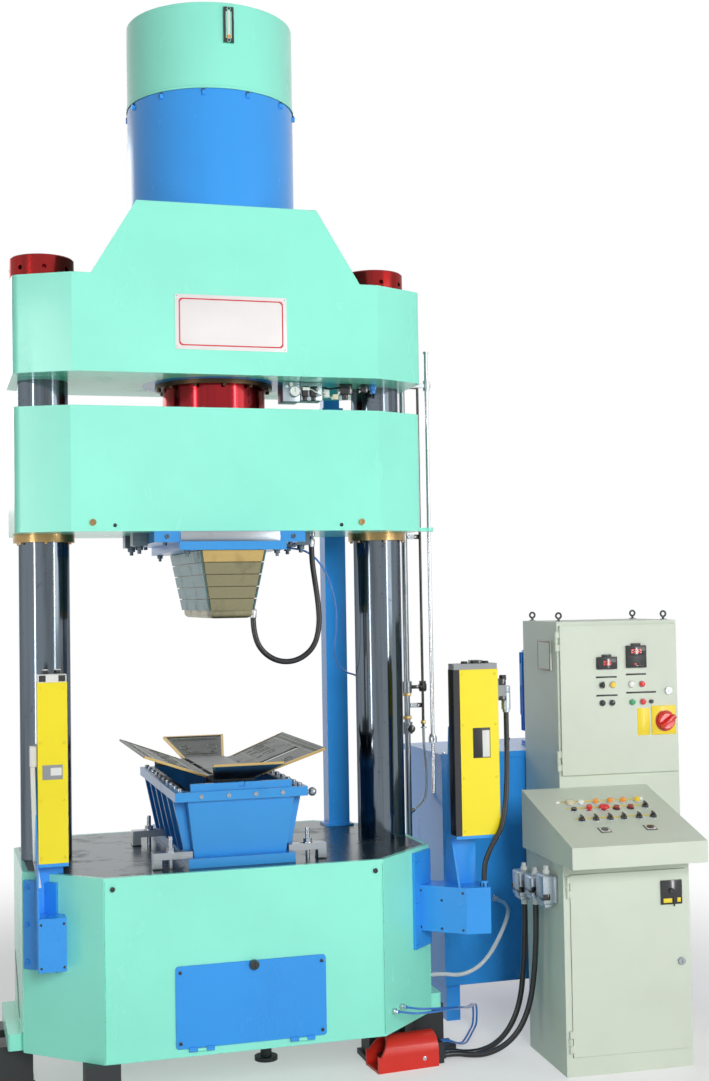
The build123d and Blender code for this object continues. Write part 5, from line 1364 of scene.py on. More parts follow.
@dataclass
class Fittings:
    """Couplings where hoses and cables leave the press and the connector hoods of the desk."""

    hoods: Sequence[tuple[float, Span, Span]] = ((-70.0, (291.0, 377.0), (599.0, 708.0)),
                                                 (-62.0, (175.0, 261.0), (620.0, 709.0)),
                                                 (-56.0, (60.0, 146.0), (613.0, 735.0)))
    stub_front: Sequence[tuple[float, float]] = ((548.0, 268.0), (590.0, 270.0))

    @staticmethod
    def _on_chamfer(x: float) -> Matrix:
        """Place on the base's right front chamfer, own Z outward.

        Args:
            x: Place across the press, in millimetres.

        Returns:
            The place.
        """
        run_x = BASE_SIDE_X - BASE_CORNER_X
        run_y = BASE_CORNER_Y - BASE_SIDE_Y
        y = (x - BASE_CORNER_X) / run_x * run_y - BASE_CORNER_Y
        turn = Matrix.Rotation(math.atan2(run_y, run_x), 4, "Z")
        return Matrix.Translation((x, y, 0)) @ turn @ Matrix.Rotation(math.radians(90), 4, "X")

    def hoods_and_glands(self) -> None:
        """Three cast hoods with their levers, and the white and black glands."""
        cast, dark, white, screws = Solid(DESK), Solid(DESK), Solid(DESK), Solid(DESK)
        for x, (y0, y1), (z0, z1) in self.hoods:
            cast.box((x, -9), (y0, y1), (z0 + 12, z1), 7.0, steps=3)
            cast.box((x + 6, -12), (y0 + 6, y1 - 6), (z0, z0 + 14), 3.0)
            cast.box((-14, -0.5), (y0 - 7, y1 + 7), (z0 + 18, z1 - 6), 2.5)
            middle = (y0 + y1) / 2
            dark.box((x - 3, x + 26), (y0 - 2.5, y0 - 0.5), (z0 + 30, z0 + 52), 1.0)
            dark.box((x - 3, x + 26), (y1 + 0.5, y1 + 2.5), (z0 + 30, z0 + 52), 1.0)
            dark.box((x - 3.5, x - 1.0), (y0 - 1, y1 + 1), (z0 + 30, z0 + 36), 1.0)
            dark.box((-17, -12), (y0 + 4, y1 - 4), (z0 + 20, z1 - 8), 0.8)
            white.turned([(13, 0), (14, 2), (14, 12), (12.5, 15), (9.5, 16), (9.5, 26), (8, 29.5), (0, 29.5)],
                         at(x / 2, middle, z1 - 0.5), 6)
            for y in (y0 + 1, y1 - 1):
                screws.turned([(4, 0), (4, 2), (3, 3), (0, 3)],
                              facing_left(-14, y + math.copysign(5, y - middle), z0 + 26), 14)
        for x, y, low, high in ((-35, 334, 577, 600), (-31, 218, 598, 621)):
            white.turned([(13.5, 0), (13.5, 12), (14.5, 13), (14.5, 22), (0, 22)], at(x, y, low + 0.6), 24)
            white.turned([(11.2, -1.5), (11.2, 5)], at(x, y, low + 0.5), 24)
        cast.make("connector_hoods", ALUMINIUM)
        dark.make("hood_levers", BLACK_GLOSS)
        white.make("cable_glands", PALE)
        screws.make("hood_screws", BRIGHT)

    def stubs(self) -> None:
        """Push-in couplings of the two blue tubes and the clear hose's tails."""
        steel, rings = Solid(), Solid()
        for x, z in self.stub_front:
            place = self._on_chamfer(x) @ Matrix.Translation((0, z, 0))
            steel.hexagon(20, (-1, 13), place)
            steel.turned([(7, 12), (7, 22), (6.4, 24), (4.3, 24)], place, 24)
            rings.turned([(6.2, 23), (6.2, 26), (4.3, 26.5)], place, 24)
        steel.hexagon(24, (0, 16), facing_right(768.5, -150, 300))
        steel.turned([(11, 15), (11.6, 20), (10.4, 24), (11.6, 28), (10.4, 32), (11, 36), (8.4, 36.6)],
                     facing_right(768.5, -150, 300), 28)
        tail = Matrix.Translation((1220, 200, 505)) @ Matrix.Rotation(math.radians(90), 4, "X")
        steel.hexagon(24, (-0.5, 14), tail)
        steel.turned([(11.4, 13), (10.4, 18), (11.4, 22), (11.2, 27.5), (8.4, 28)], tail, 28)
        steel.make("hose_couplings", BRIGHT)
        rings.make("coupling_rings", BLUE_TUBE)

    def build(self) -> None:
        """Make hoods, glands and couplings."""
        self.hoods_and_glands()
        self.stubs()


@dataclass
class PunchDress:
    """Facing plates on the punch's four sides, bolts under the holder and the hose ends."""

    low: float = 1750.0
    high: float = 1976.0
    bands: int = 5
    clamp_x: float = 316.0
    bolt_x: float = 170.0
    frame_screw_x: float = 240.0
    frame_low: float = 2006.8
    hose: Point = (362.0, -100.0, 2024.0)
    hose_end: Point = (124.0, -100.0, 1720.0)
    elbow: Point = (243.0, -30.0, 1992.0)

    def _half(self, z: float) -> tuple[float, float]:
        """Half width and half depth of the punch's slabs at a height."""
        share = (z - self.low) / (self.high - self.low)
        return 80 + 40 * share, 293 + 45 * share

    def facings(self) -> None:
        """Stained brass plates in front and behind, smooth steel ones at the sides."""
        brass, top, steel = Solid(), Solid(), Solid()
        pitch = (self.high - self.low) / self.bands
        for index in range(self.bands):
            z0 = self.low + index * pitch + 1.6
            z1 = self.low + (index + 1) * pitch - 1.6
            for side in (-1, 1):
                for target, flat in ((top if index == self.bands - 1 else brass, True), (steel, False)):
                    points = []
                    for z in (z0, z1):
                        half_x, half_y = self._half(z)
                        for run in (-1, 1):
                            for out in (3.0, 9.5):
                                if flat:
                                    points.append((run * (half_x - 3), side * (half_y + out - 3), z))
                                else:
                                    points.append((side * (half_x + out - 3), run * (half_y + 2), z))
                    target.hull(points)
        brass.make("punch_facings", PUNCH, "crosshead", smooth=20)
        top.make("punch_top_facings", BRASS, "crosshead", smooth=20)
        steel.make("punch_side_facings", PUNCH_SIDE, "crosshead", "mould_steel", smooth=20)

    def holder(self) -> None:
        """Bare insert in the frame's front, washers and nuts under the clamps and plate."""
        insert = Solid()
        for side in (-1, 1):
            insert.box((-189, 189), mirrored(side, 287, 303), (2009, 2047.5), 1.0)
        insert.make("holder_inserts", STEEL, "crosshead", "mould_steel")
        nuts = Solid()
        for side in (-1, 1):
            for y in (-110, 110):
                seat = hanging(side * self.clamp_x, y, self.frame_low - 5.9)
                nuts.turned([(17, 0), (17, 3), (16, 3.6), (0, 3.6)], seat, 28)
                nuts.hexagon(26, (3.4, 16), seat)
                nuts.turned([(7.5, 15), (7.5, 28), (6, 30), (0, 30)], seat, 20)
            for y in (-325, 325):
                seat = hanging(side * self.bolt_x, y, self.high - 0.1)
                nuts.turned([(14, 0), (14, 2.6), (0, 2.6)], seat, 24)
                nuts.hexagon(20, (2.4, 13), seat)
                nuts.turned([(6, 12), (6, 24), (0, 24)], seat, 20)
            x = side * self.frame_screw_x
            for seat in (hanging(x, -250, self.frame_low), facing_front(x, -300, 2028),
                         hanging(x, 250, self.frame_low)):
                nuts.socket_screw(seat, 8)
        nuts.make("holder_nuts", CLAMP_STEEL, "crosshead", "lock_steel")

    def hose_ends(self) -> None:
        """Crimped ends of the hose and the elbow's blue collar."""
        steel = Solid()
        crimp = [(12.6, 0), (13.4, 3), (13.4, 20), (12.4, 24), (11.4, 30), (11.1, 31)]
        steel.turned(crimp, hanging(*self.hose), 28)
        steel.hexagon(27, (0, 12), hanging(*self.hose) @ at(0, 0, -23.6))
        steel.turned(crimp, at(*self.hose_end), 28)
        steel.hexagon(25, (0, 16), at(*self.hose_end) @ hanging(0, 0, 32))
        steel.make("hose_ends", BRIGHT, "crosshead")
        collar = Solid().turned([(6.4, 0), (6.4, 8), (5.2, 10), (4.3, 10)],
                                facing_right(*self.elbow), 24)
        collar.make("elbow_collar", BLUE_TUBE, "crosshead")

    def build(self) -> None:
        """Make facings, bolts and hose ends."""
        self.facings()
        self.holder()
        self.hose_ends()


@dataclass
class Leaf:
    """Ornament and brass edges of one folding leaf, in the leaf's own frame."""

    name: str
    side: int
    hinge: float
    tilt: float
    along_x: bool
    near_half: float
    far_half: float
    gap: Optional[Span] = None
    length: float = 265.0
    thick: float = 8.0
    axis_z: float = 1137.0

    def place(self) -> Matrix:
        """Own frame: origin on the hinge line, X along the leaf.

        Returns:
            The place.
        """
        turn = (0 if self.side > 0 else 180) if self.along_x else (90 if self.side > 0 else -90)
        reach = self.side * self.hinge
        offset = (reach, 0, self.axis_z) if self.along_x else (0, reach, self.axis_z)
        lean = Matrix.Rotation(math.radians(self.tilt - 90), 4, "Y")
        return Matrix.Translation(offset) @ Matrix.Rotation(math.radians(turn), 4, "Z") @ lean

    def _half(self, x: float) -> float:
        """Half width of the leaf at a distance from the hinge."""
        share = (x - 11.0) / (self.length - 11.0)
        return self.near_half + share * (self.far_half - self.near_half)

    def _clear(self, y: float, reach: float) -> bool:
        """Whether a mark of this reach stays out of the slot."""
        return self.gap is None or y + reach < self.gap[0] or y - reach > self.gap[1]

    def _scroll(self, solid: "Solid", x: float, y: float, size: float, hand: int) -> None:
        """One scroll with a curled end and three small leaves.

        Args:
            solid: Where it is added.
            x: Its middle along the leaf.
            y: Its middle across the leaf.
            size: Its radius.
            hand: One or minus one, the way it curls.
        """
        height = self.thick / 2 - 2.0
        points = []
        for k in range(30):
            angle = k / 29 * 2.2 * math.pi
            reach = size * (1 - 0.8 * k / 29)
            points.append((x - reach * math.cos(angle), y + hand * reach * math.sin(angle), height))
        solid.wire(points, 1.9, 8)
        for k in range(3):
            angle = math.radians(40 + 45 * k)
            tip = (x - size * 0.72 * math.cos(angle), y - hand * size * 0.72 * math.sin(angle), height)
            solid.wire([(x, y, height), ((x + tip[0]) / 2 + 4, (y + tip[1]) / 2, height), tip], 1.5, 8)

    def build(self) -> None:
        """Make relief and edges."""
        relief = Solid(self.place())
        height = self.thick / 2 - 1.9
        for x in (58.0, 216.0):
            half = self._half(x) - 26
            spans = [(-half, half)]
            if self.gap is not None and x < 215:
                spans = [(-half, self.gap[0] - 4), (self.gap[1] + 4, half)]
            for low, high in spans:
                relief.wire([(x, low, height), (x, high, height)], 1.7, 8)
        step = 17.0
        studs = int(self._half(232) // step)
        for k in range(2 - studs, studs - 1):
            stud = at(235, k * step, 2.1)
            relief.turned([(6.4, 0), (6.4, 1.2), (5.2, 1.7), (4.2, 0.9), (0, 0.9)], stud, 14)
        size = 36.0 if self.along_x else 30.0
        places = [-230, -150, -40, 40, 150, 230] if self.along_x else [-52, 52]
        for k, y in enumerate(places):
            if self._clear(y, size + 6):
                self._scroll(relief, 134, y, size, 1 if k % 2 else -1)
                self._scroll(relief, 86, y, size * 0.4, -1 if k % 2 else 1)
        relief.make(f"{self.name}_relief", RELIEF, self.name, "leaf_steel", smooth=50)
        edges = Solid(self.place())
        for side in (-1, 1):
            edges.hull([(x, side * (self._half(x) + out), z) for x in (13.0, self.length - 2)
                        for out in (-9.0, 0.6) for z in (-self.thick / 2 - 0.5, self.thick / 2 + 0.2)])
        if not self.along_x:
            edges.hull([(x, y, z) for x in (self.length - 9, self.length + 0.4) for z in (-4.5, 4.2)
                        for y in (-self.far_half + 2, self.far_half - 2)])
        edges.make(f"{self.name}_edges", BRASS, self.name, smooth=30)


LEAVES = (
    Leaf("left_leaf", -1, 92.0, 70.0, True, 303.0, 349.0),
    Leaf("right_leaf", 1, 92.0, 70.0, True, 303.0, 349.0, (-120.0, -80.0)),
    Leaf("front_leaf", -1, 312.0, 74.3, False, 84.0, 130.0),
    Leaf("back_leaf", 1, 312.0, 74.3, False, 84.0, 130.0),
)


@dataclass
class MouldDress:
    """Welds, washers and inner plates of the mould, and its clamps' stud ends and shims."""

    top: float = 1104.0
    foot: float = 866.0
    ribs: Sequence[float] = (-350.0, -210.0, -70.0, 70.0, 210.0, 350.0)
    clamps: Sequence[tuple[int, float]] = ((-1, -395.0), (-1, 140.0), (1, -385.0), (1, 140.0))
    clamp_x: float = 255.0
    clamp_top: float = 889.9

    def plates(self) -> None:
        """Bright wear strips inside the end bars and the sealing strip on the rim."""
        strips = Solid()
        for side in (-1, 1):
            strips.box((-180, -16), mirrored(side, 416.6, 418.4), (1106, 1128), 0.5)
            strips.box((16, 180), mirrored(side, 416.6, 418.4), (1106, 1128), 0.5)
        strips.make("mould_wear_strips", BRASS)
        seal = Solid()
        for side in (-1, 1):
            seal.box(mirrored(side, 190, 206), (-414, 414), (self.top - 0.5, self.top + 1.4), 0.5)
        seal.make("mould_seals", DARK_STEEL)

    def welds(self) -> None:
        """Weld beads of the ribs and flanges."""
        beads = Solid()
        for side in (-1, 1):
            for y in self.ribs:
                for run in (-7.5, 7.5):
                    beads.wire([(side * 196, y + run, self.foot)]
                               + [(side * (172.4 + 2.45 * k), y + run + 0.6 * (k % 2), 870 + k * 18.2)
                                  for k in range(11)], 2.2, 6)
            beads.wire([(x, side * 399.5, 866.5 + 0.5 * (k % 2)) for k, x in enumerate(range(-168, 169, 12))],
                       2.6, 6)
        beads.make("mould_welds", TOOL_BLUE, smooth=60)

    def clamp_details(self) -> None:
        """Washers, dome ends of the studs and packing shims."""
        steel, dark = Solid(), Solid()
        for side, y in self.clamps:
            x = side * self.clamp_x
            steel.turned([(16, 0), (16, 3), (15, 3.6), (8.1, 3.6)], at(x, y, self.clamp_top), 28)
            steel.turned([(8.1, 0), (8.1, 1.2), (6.5, 3), (0, 3.4)], at(x, y, 941.8), 20)
            for k in range(9):
                steel.turned([(8.0, 0), (8.5, 0.8), (8.0, 1.6)], at(x, y, 912 + 3 * k), 18)
            dark.box(mirrored(side, 288, 323), (y - 24.5, y + 24.5), (831.4, 836), 0.8)
        steel.make("clamp_washers", BRIGHT)
        dark.make("clamp_shims", DARK_STEEL)

    def build(self) -> None:
        """Make strips, welds and clamp details."""
        self.plates()
        self.welds()
        self.clamp_details()


@dataclass
class BaseDress:
    """Screws, seams and marks of the welded base and its lugs."""

    face: float = -BASE_CORNER_Y
    blank_x: float = 478.0
    blank_z: float = 792.0
    flap_x: Span = (-246.0, 268.0)
    flap_z: Span = (240.0, 486.0)

    def screws(self) -> None:
        """Blanking screws under the table and the flap's holding screws."""
        dark = Solid()
        for x in (-self.blank_x, self.blank_x):
            dark.turned([(9, -1), (9, 2.5), (7.5, 4), (4.6, 4), (4.2, 1), (0, 1)],
                        facing_front(x, self.face, self.blank_z), 20)
        for x in self.flap_x:
            for z in self.flap_z:
                dark.turned([(6, -1), (6, 2), (4.5, 3), (0, 3)], facing_front(x, self.face - 6, z), 16)
        dark.make("base_screws", BLACK_GLOSS, slot="black_iron")

    def seams(self) -> None:
        """Weld beads where the front meets the chamfers and round the lugs."""
        beads = Solid()
        for side in (-1, 1):
            for x, y in ((BASE_CORNER_X, -BASE_CORNER_Y), (BASE_SIDE_X, -BASE_SIDE_Y)):
                beads.wire([(side * (x + 0.25 * (k % 2)), y, 200 + k * 9.5) for k in range(66)], 1.4, 6)
            beads.wire([(side * 769.6, y + 0.4, 251 + 0.8 * (k % 2))
                        for k, y in enumerate(range(-228, 214, 9))], 2.6, 6)
        beads.make("base_seams", MINT, smooth=60)
        # Thin black curved strip on the base's left end: painted shade of a narrow slit.
        inner = ((222, 446), (226, 440), (150, 412), (60, 360),
                 (-55, 219), (-62, 226), (40, 356), (140, 418))
        outer = ((224, 443), (60, 358), (-58, 222))
        slot = Solid().hull([(-769.3, y, z) for y, z in inner] + [(-770.6, y, z) for y, z in outer])
        slot.make("left_end_slit_shade", BLACK, slot="black_iron", smooth=40)

    def build(self) -> None:
        """Make screws and seams."""
        self.screws()
        self.seams()


@dataclass
class CurtainDress:
    """Blank labels, cable strip, plugs and cap screws of the two light curtains."""

    left_x: float = -670.0
    right_y: float = -400.0
    plug_x: float = 1048.0
    gland: Point = (925.0, -450.0, 692.5)
    box_slope: tuple[float, float] = (149.0, -131.0)

    def left(self) -> None:
        """Label, end-cap screws and the pale cable strip behind the left housing."""
        Solid().box((-706, -636), (-413.2, -411.8), (1171, 1222), 0.4).make("left_label", GREY)
        Solid().box((-678, -640), (-413.8, -413.0), (1185, 1212), 0.2).make("left_label_field", PALE)
        strip = Solid().box((-748, -723), (-392, -366), (1214, 1288), 3.0)
        for corners in (((-746, 1216), (-730, 1216), (-738, 880), (-724, 880)),
                        ((-738, 884), (-724, 884), (-722, 792), (-711, 792))):
            strip.hull([(x, y, z) for x, z in corners for y in (-388, -372)])
        strip.make("left_cable_strip", PALE, smooth=25)
        dark = Solid()
        for x in (self.left_x - 34, self.left_x + 34):
            dark.box((x - 12, x + 12), (-411.4, -409.6), (1514, 1536), 1.0)
            dark.turned([(12.5, 0), (13.5, 2), (13.5, 12), (11, 14)],
                        at(x + (12 if x < self.left_x else -12), -380, 1540), 6)
        dark.box((-705, -640), (-405, -355), (866, 879), 2.0)
        dark.make("left_cap_inserts", BLACK_GLOSS)
        Solid().box((-708, -634), (-342.8, -341), (862, 866), 0.4).make("left_seat_shim", PALE)

    def right(self) -> None:
        """Label, black gland and cap details and the plug on the right housing's side."""
        Solid().box((898, 968), (-433.3, -431.8), (1174, 1288), 0.4).make("right_label", BLACK)
        Solid().box((936, 965), (-434.0, -433.0), (1177, 1278), 0.2).make("right_label_field", PALE)
        dark = Solid()
        for x in (880, 966):
            dark.turned([(13, 0), (14, 2), (14, 12), (11, 15), (0, 15)], at(x, self.right_y, 1526), 6)
        dark.box((905, 945), (-428, -372), (1531, 1545), 3.0)
        dark.box((866, 980), (-426, -374), (868, 883), 3.0)
        dark.box((1010, 1040), (-426, -374), (1446, 1470), 2.0)
        dark.box((1010, 1040), (-426, -374), (1388, 1404), 2.0)
        dark.turned([(12, 0), (15, 3), (15, 18), (12, 22)], at(1037, self.right_y, 1462), 6)
        dark.make("right_black_parts", BLACK_GLOSS)
        socket = Solid().turned([(17.6, 0), (17.6, 62), (16, 66), (17.6, 70), (17.6, 88), (15, 91), (0, 91)],
                                at(self.plug_x, self.right_y, 1352), 32)
        socket.turned([(11, 0), (13.6, 2), (13.6, 12), (11, 14)], at(self.plug_x, self.right_y, 1340), 24)
        socket.make("curtain_plug", ALUMINIUM)
        tape = Solid().box((1004.1, 1005.3), (-424, -410), (1248, 1300), 0.3)
        tape.box((1004.1, 1005.3), (-424, -410), (1186, 1236), 0.3)
        tape.make("side_labels", PALE)
        gland = Solid().turned([(15.6, 0), (16.5, 2), (16.5, 14), (13, 17), (11.5, 24)],
                               at(*self.gland), 6)
        gland.make("bracket_gland", BLACK_GLOSS)

    def screws(self) -> None:
        """Black screws on the bracket boxes."""
        dark = Solid()
        for x, z in ((-718, 676), (-640, 676), (-718, 526), (-640, 526)):
            dark.turned([(4.5, -0.5), (4.5, 1.2), (3.4, 2), (0, 2)], facing_front(x, -452, z), 14)
        run_x, run_y = self.box_slope
        place = at(849, -458, 0) @ Matrix.Rotation(math.atan2(run_y, run_x), 4, "Z")
        for run, z in ((-186, 672), (-100, 640), (-14, 672), (-186, 534), (-100, 534), (-14, 534)):
            dark.turned([(4.8, -0.5), (4.8, 1.4), (3.6, 2.2), (0, 2.2)],
                        place @ facing_front(run, 0, z), 14)
        dark.make("bracket_screws", BLACK_GLOSS, slot="black_iron")

    def build(self) -> None:
        """Make both curtains' small parts."""
        self.left()
        self.right()
        self.screws()


class Key(Enum):
    """Kinds of control on the desk."""

    BIG = "big"
    LAMP = "lamp"
    PUSH = "push"
    SELECT = "select"


@dataclass
class DeskControls:
    """Lamps, keys and selectors on the sloping panel."""

    collar: float = 15.0
    stems: dict[str, tuple[float, float]] = field(default_factory=lambda: {
        "start_button": (178.0, 172.0), "emergency_button": (240.0, 172.0),
        "left_selector": (113.0, 84.0), "right_selector": (347.0, 84.0)})
    rows: Sequence[tuple[float, float, Key, Finish]] = (
        (126.0, 240.0, Key.BIG, CREAM_CAP), (172.0, 240.0, Key.LAMP, WHITE_CAP),
        (233.0, 240.0, Key.LAMP, ORANGE_CAP), (293.0, 240.0, Key.LAMP, ORANGE_CAP),
        (348.0, 240.0, Key.LAMP, ORANGE_CAP), (408.0, 240.0, Key.LAMP, YELLOW_CAP),
        (118.0, 178.0, Key.PUSH, BLACK_GLOSS), (294.0, 178.0, Key.PUSH, DARK_RED_CAP),
        (353.0, 178.0, Key.PUSH, DARK_RED_CAP), (415.0, 178.0, Key.SELECT, BLACK_GLOSS),
        (170.0, 84.0, Key.SELECT, BLACK_GLOSS), (228.0, 84.0, Key.SELECT, BLACK_GLOSS),
        (284.0, 84.0, Key.SELECT, BLACK_GLOSS), (405.0, 84.0, Key.SELECT, BLACK_GLOSS))

    def _bezel(self, solid: Solid, x: float, y: float) -> None:
        """Collar ring on the panel."""
        solid.turned([(self.collar, 0.2), (self.collar, 2.6), (self.collar - 1, 3.8), (10.4, 4.2), (6.3, 4.2),
                      (6.3, 0.2), (self.collar, 0.2)], on_panel(x, y), 36)

    @staticmethod
    def _knob(solid: Solid, x: float, y: float) -> None:
        """Selector grip with its bar."""
        solid.turned([(12.8, 4.4), (13, 6), (12.2, 11), (11, 12.6), (0, 12.6)], on_panel(x, y), 32)
        solid.box((-4, 4), (-12, 17.6), (11.5, 22.6), 2.2, turn=on_panel(x, y))

    def _cap(self, solid: Solid, kind: Key, x: float, y: float) -> None:
        """Cap of one fixed control.

        Args:
            solid: Mesh to add it to.
            kind: Shape of the cap.
            x: Place across the panel.
            y: Place up the panel.
        """
        if kind is Key.LAMP:
            solid.turned([(11, 4.2), (11.4, 8), (11, 14), (9, 17), (5, 18.2), (0, 18.5)], on_panel(x, y), 32)
        elif kind is Key.BIG:
            solid.turned([(16, 4.2), (16.5, 12), (16, 16), (13, 17.6), (0, 17.8)], on_panel(x, y), 36)
        elif kind is Key.PUSH:
            solid.turned([(11.4, 4.2), (11.4, 12), (10.4, 13.4), (9.4, 12.8), (0, 12.8)], on_panel(x, y), 32)
        else:
            self._knob(solid, x, y)

    def build(self) -> None:
        """Make collars, caps, blank strips, plates and the moving controls."""
        bezels, black = Solid(PANEL), Solid(PANEL)
        caps: dict[Finish, Solid] = {}
        for x, y, kind, finish in self.rows:
            self._bezel(black if kind is Key.PUSH and finish is not BLACK_GLOSS else bezels, x, y)
            self._cap(caps.setdefault(finish, Solid(PANEL)), kind, x, y)
        for x, y in self.stems.values():
            self._bezel(bezels, x, y)
        for x, y in ((84, 262), (432, 262)):
            caps[WHITE_CAP].turned([(10, 0.3), (10, 3), (8.6, 5), (0, 6)], on_panel(x, y), 28)
        bezels.make("desk_bezels", BRIGHT, replaces=("desk_controls",))
        black.make("desk_black_bezels", BLACK_GLOSS)
        for finish, solid in caps.items():
            solid.make(f"desk_{finish.name}_caps", finish, slot="controls")
        strips = Solid(PANEL)
        for y, x0, x1 in ((262, 98, 424), (200, 98, 430), (106, 92, 422)):
            strips.box((x0, x1), (-4, 4), (0.3, 1.2), 0.2, turn=on_panel(0, y))
        strips.make("desk_strips", SWITCH_YELLOW)
        plates, frames, domes = Solid(PANEL), Solid(PANEL), Solid(PANEL)
        for x in (168, 352):
            frames.box((-22, 22), (-22, 22), (0.3, 2.6), 1.2, turn=on_panel(x, -5))
            plates.box((-18, 18), (-18, 18), (2.4, 3.2), 0.3, turn=on_panel(x, -5))
            domes.turned([(14, 3), (14, 5), (12.4, 7.4), (6, 7.9), (0, 7.4)], on_panel(x, -5), 36)
        frames.make("desk_plate_frames", BLACK)
        plates.make("desk_plates", PLATE_WHITE)
        domes.make("desk_domes", BLACK_GLOSS)
        self.moving()

    def moving(self) -> None:
        """Start key, mushroom stop key and two selectors, each on its own body."""
        for name, finish in (("start_button", RED_CAP), ("emergency_button", SWITCH_RED)):
            x, y = self.stems[name]
            key = Solid(PANEL)
            if name == "start_button":
                key.turned([(5.9, -9), (5.9, 10), (11.9, 10), (12, 21), (11, 23.4), (9.6, 22.8), (0, 22.8)],
                           on_panel(x, y), 36)
            else:
                key.turned([(5.9, -9), (5.9, 10), (12, 10.2), (20.8, 12.5), (21, 16), (18.5, 20.5),
                            (12, 23.4), (0, 24)], on_panel(x, y), 44)
            key.make(f"{name}_cap", finish, name, "controls", replaces=(name,))
        for name in ("left_selector", "right_selector"):
            x, y = self.stems[name]
            knob = Solid(PANEL).turned([(5.9, -9), (5.9, 5)], on_panel(x, y), 20)
            self._knob(knob, x, y)
            knob.make(f"{name}_grip", BLACK_GLOSS, name, "controls", replaces=(name,))
            mark = Solid(PANEL).box((-0.9, 0.9), (6, 16), (22.5, 23.0), 0.2, turn=on_panel(x, y))
            mark.make(f"{name}_mark", PALE, name)


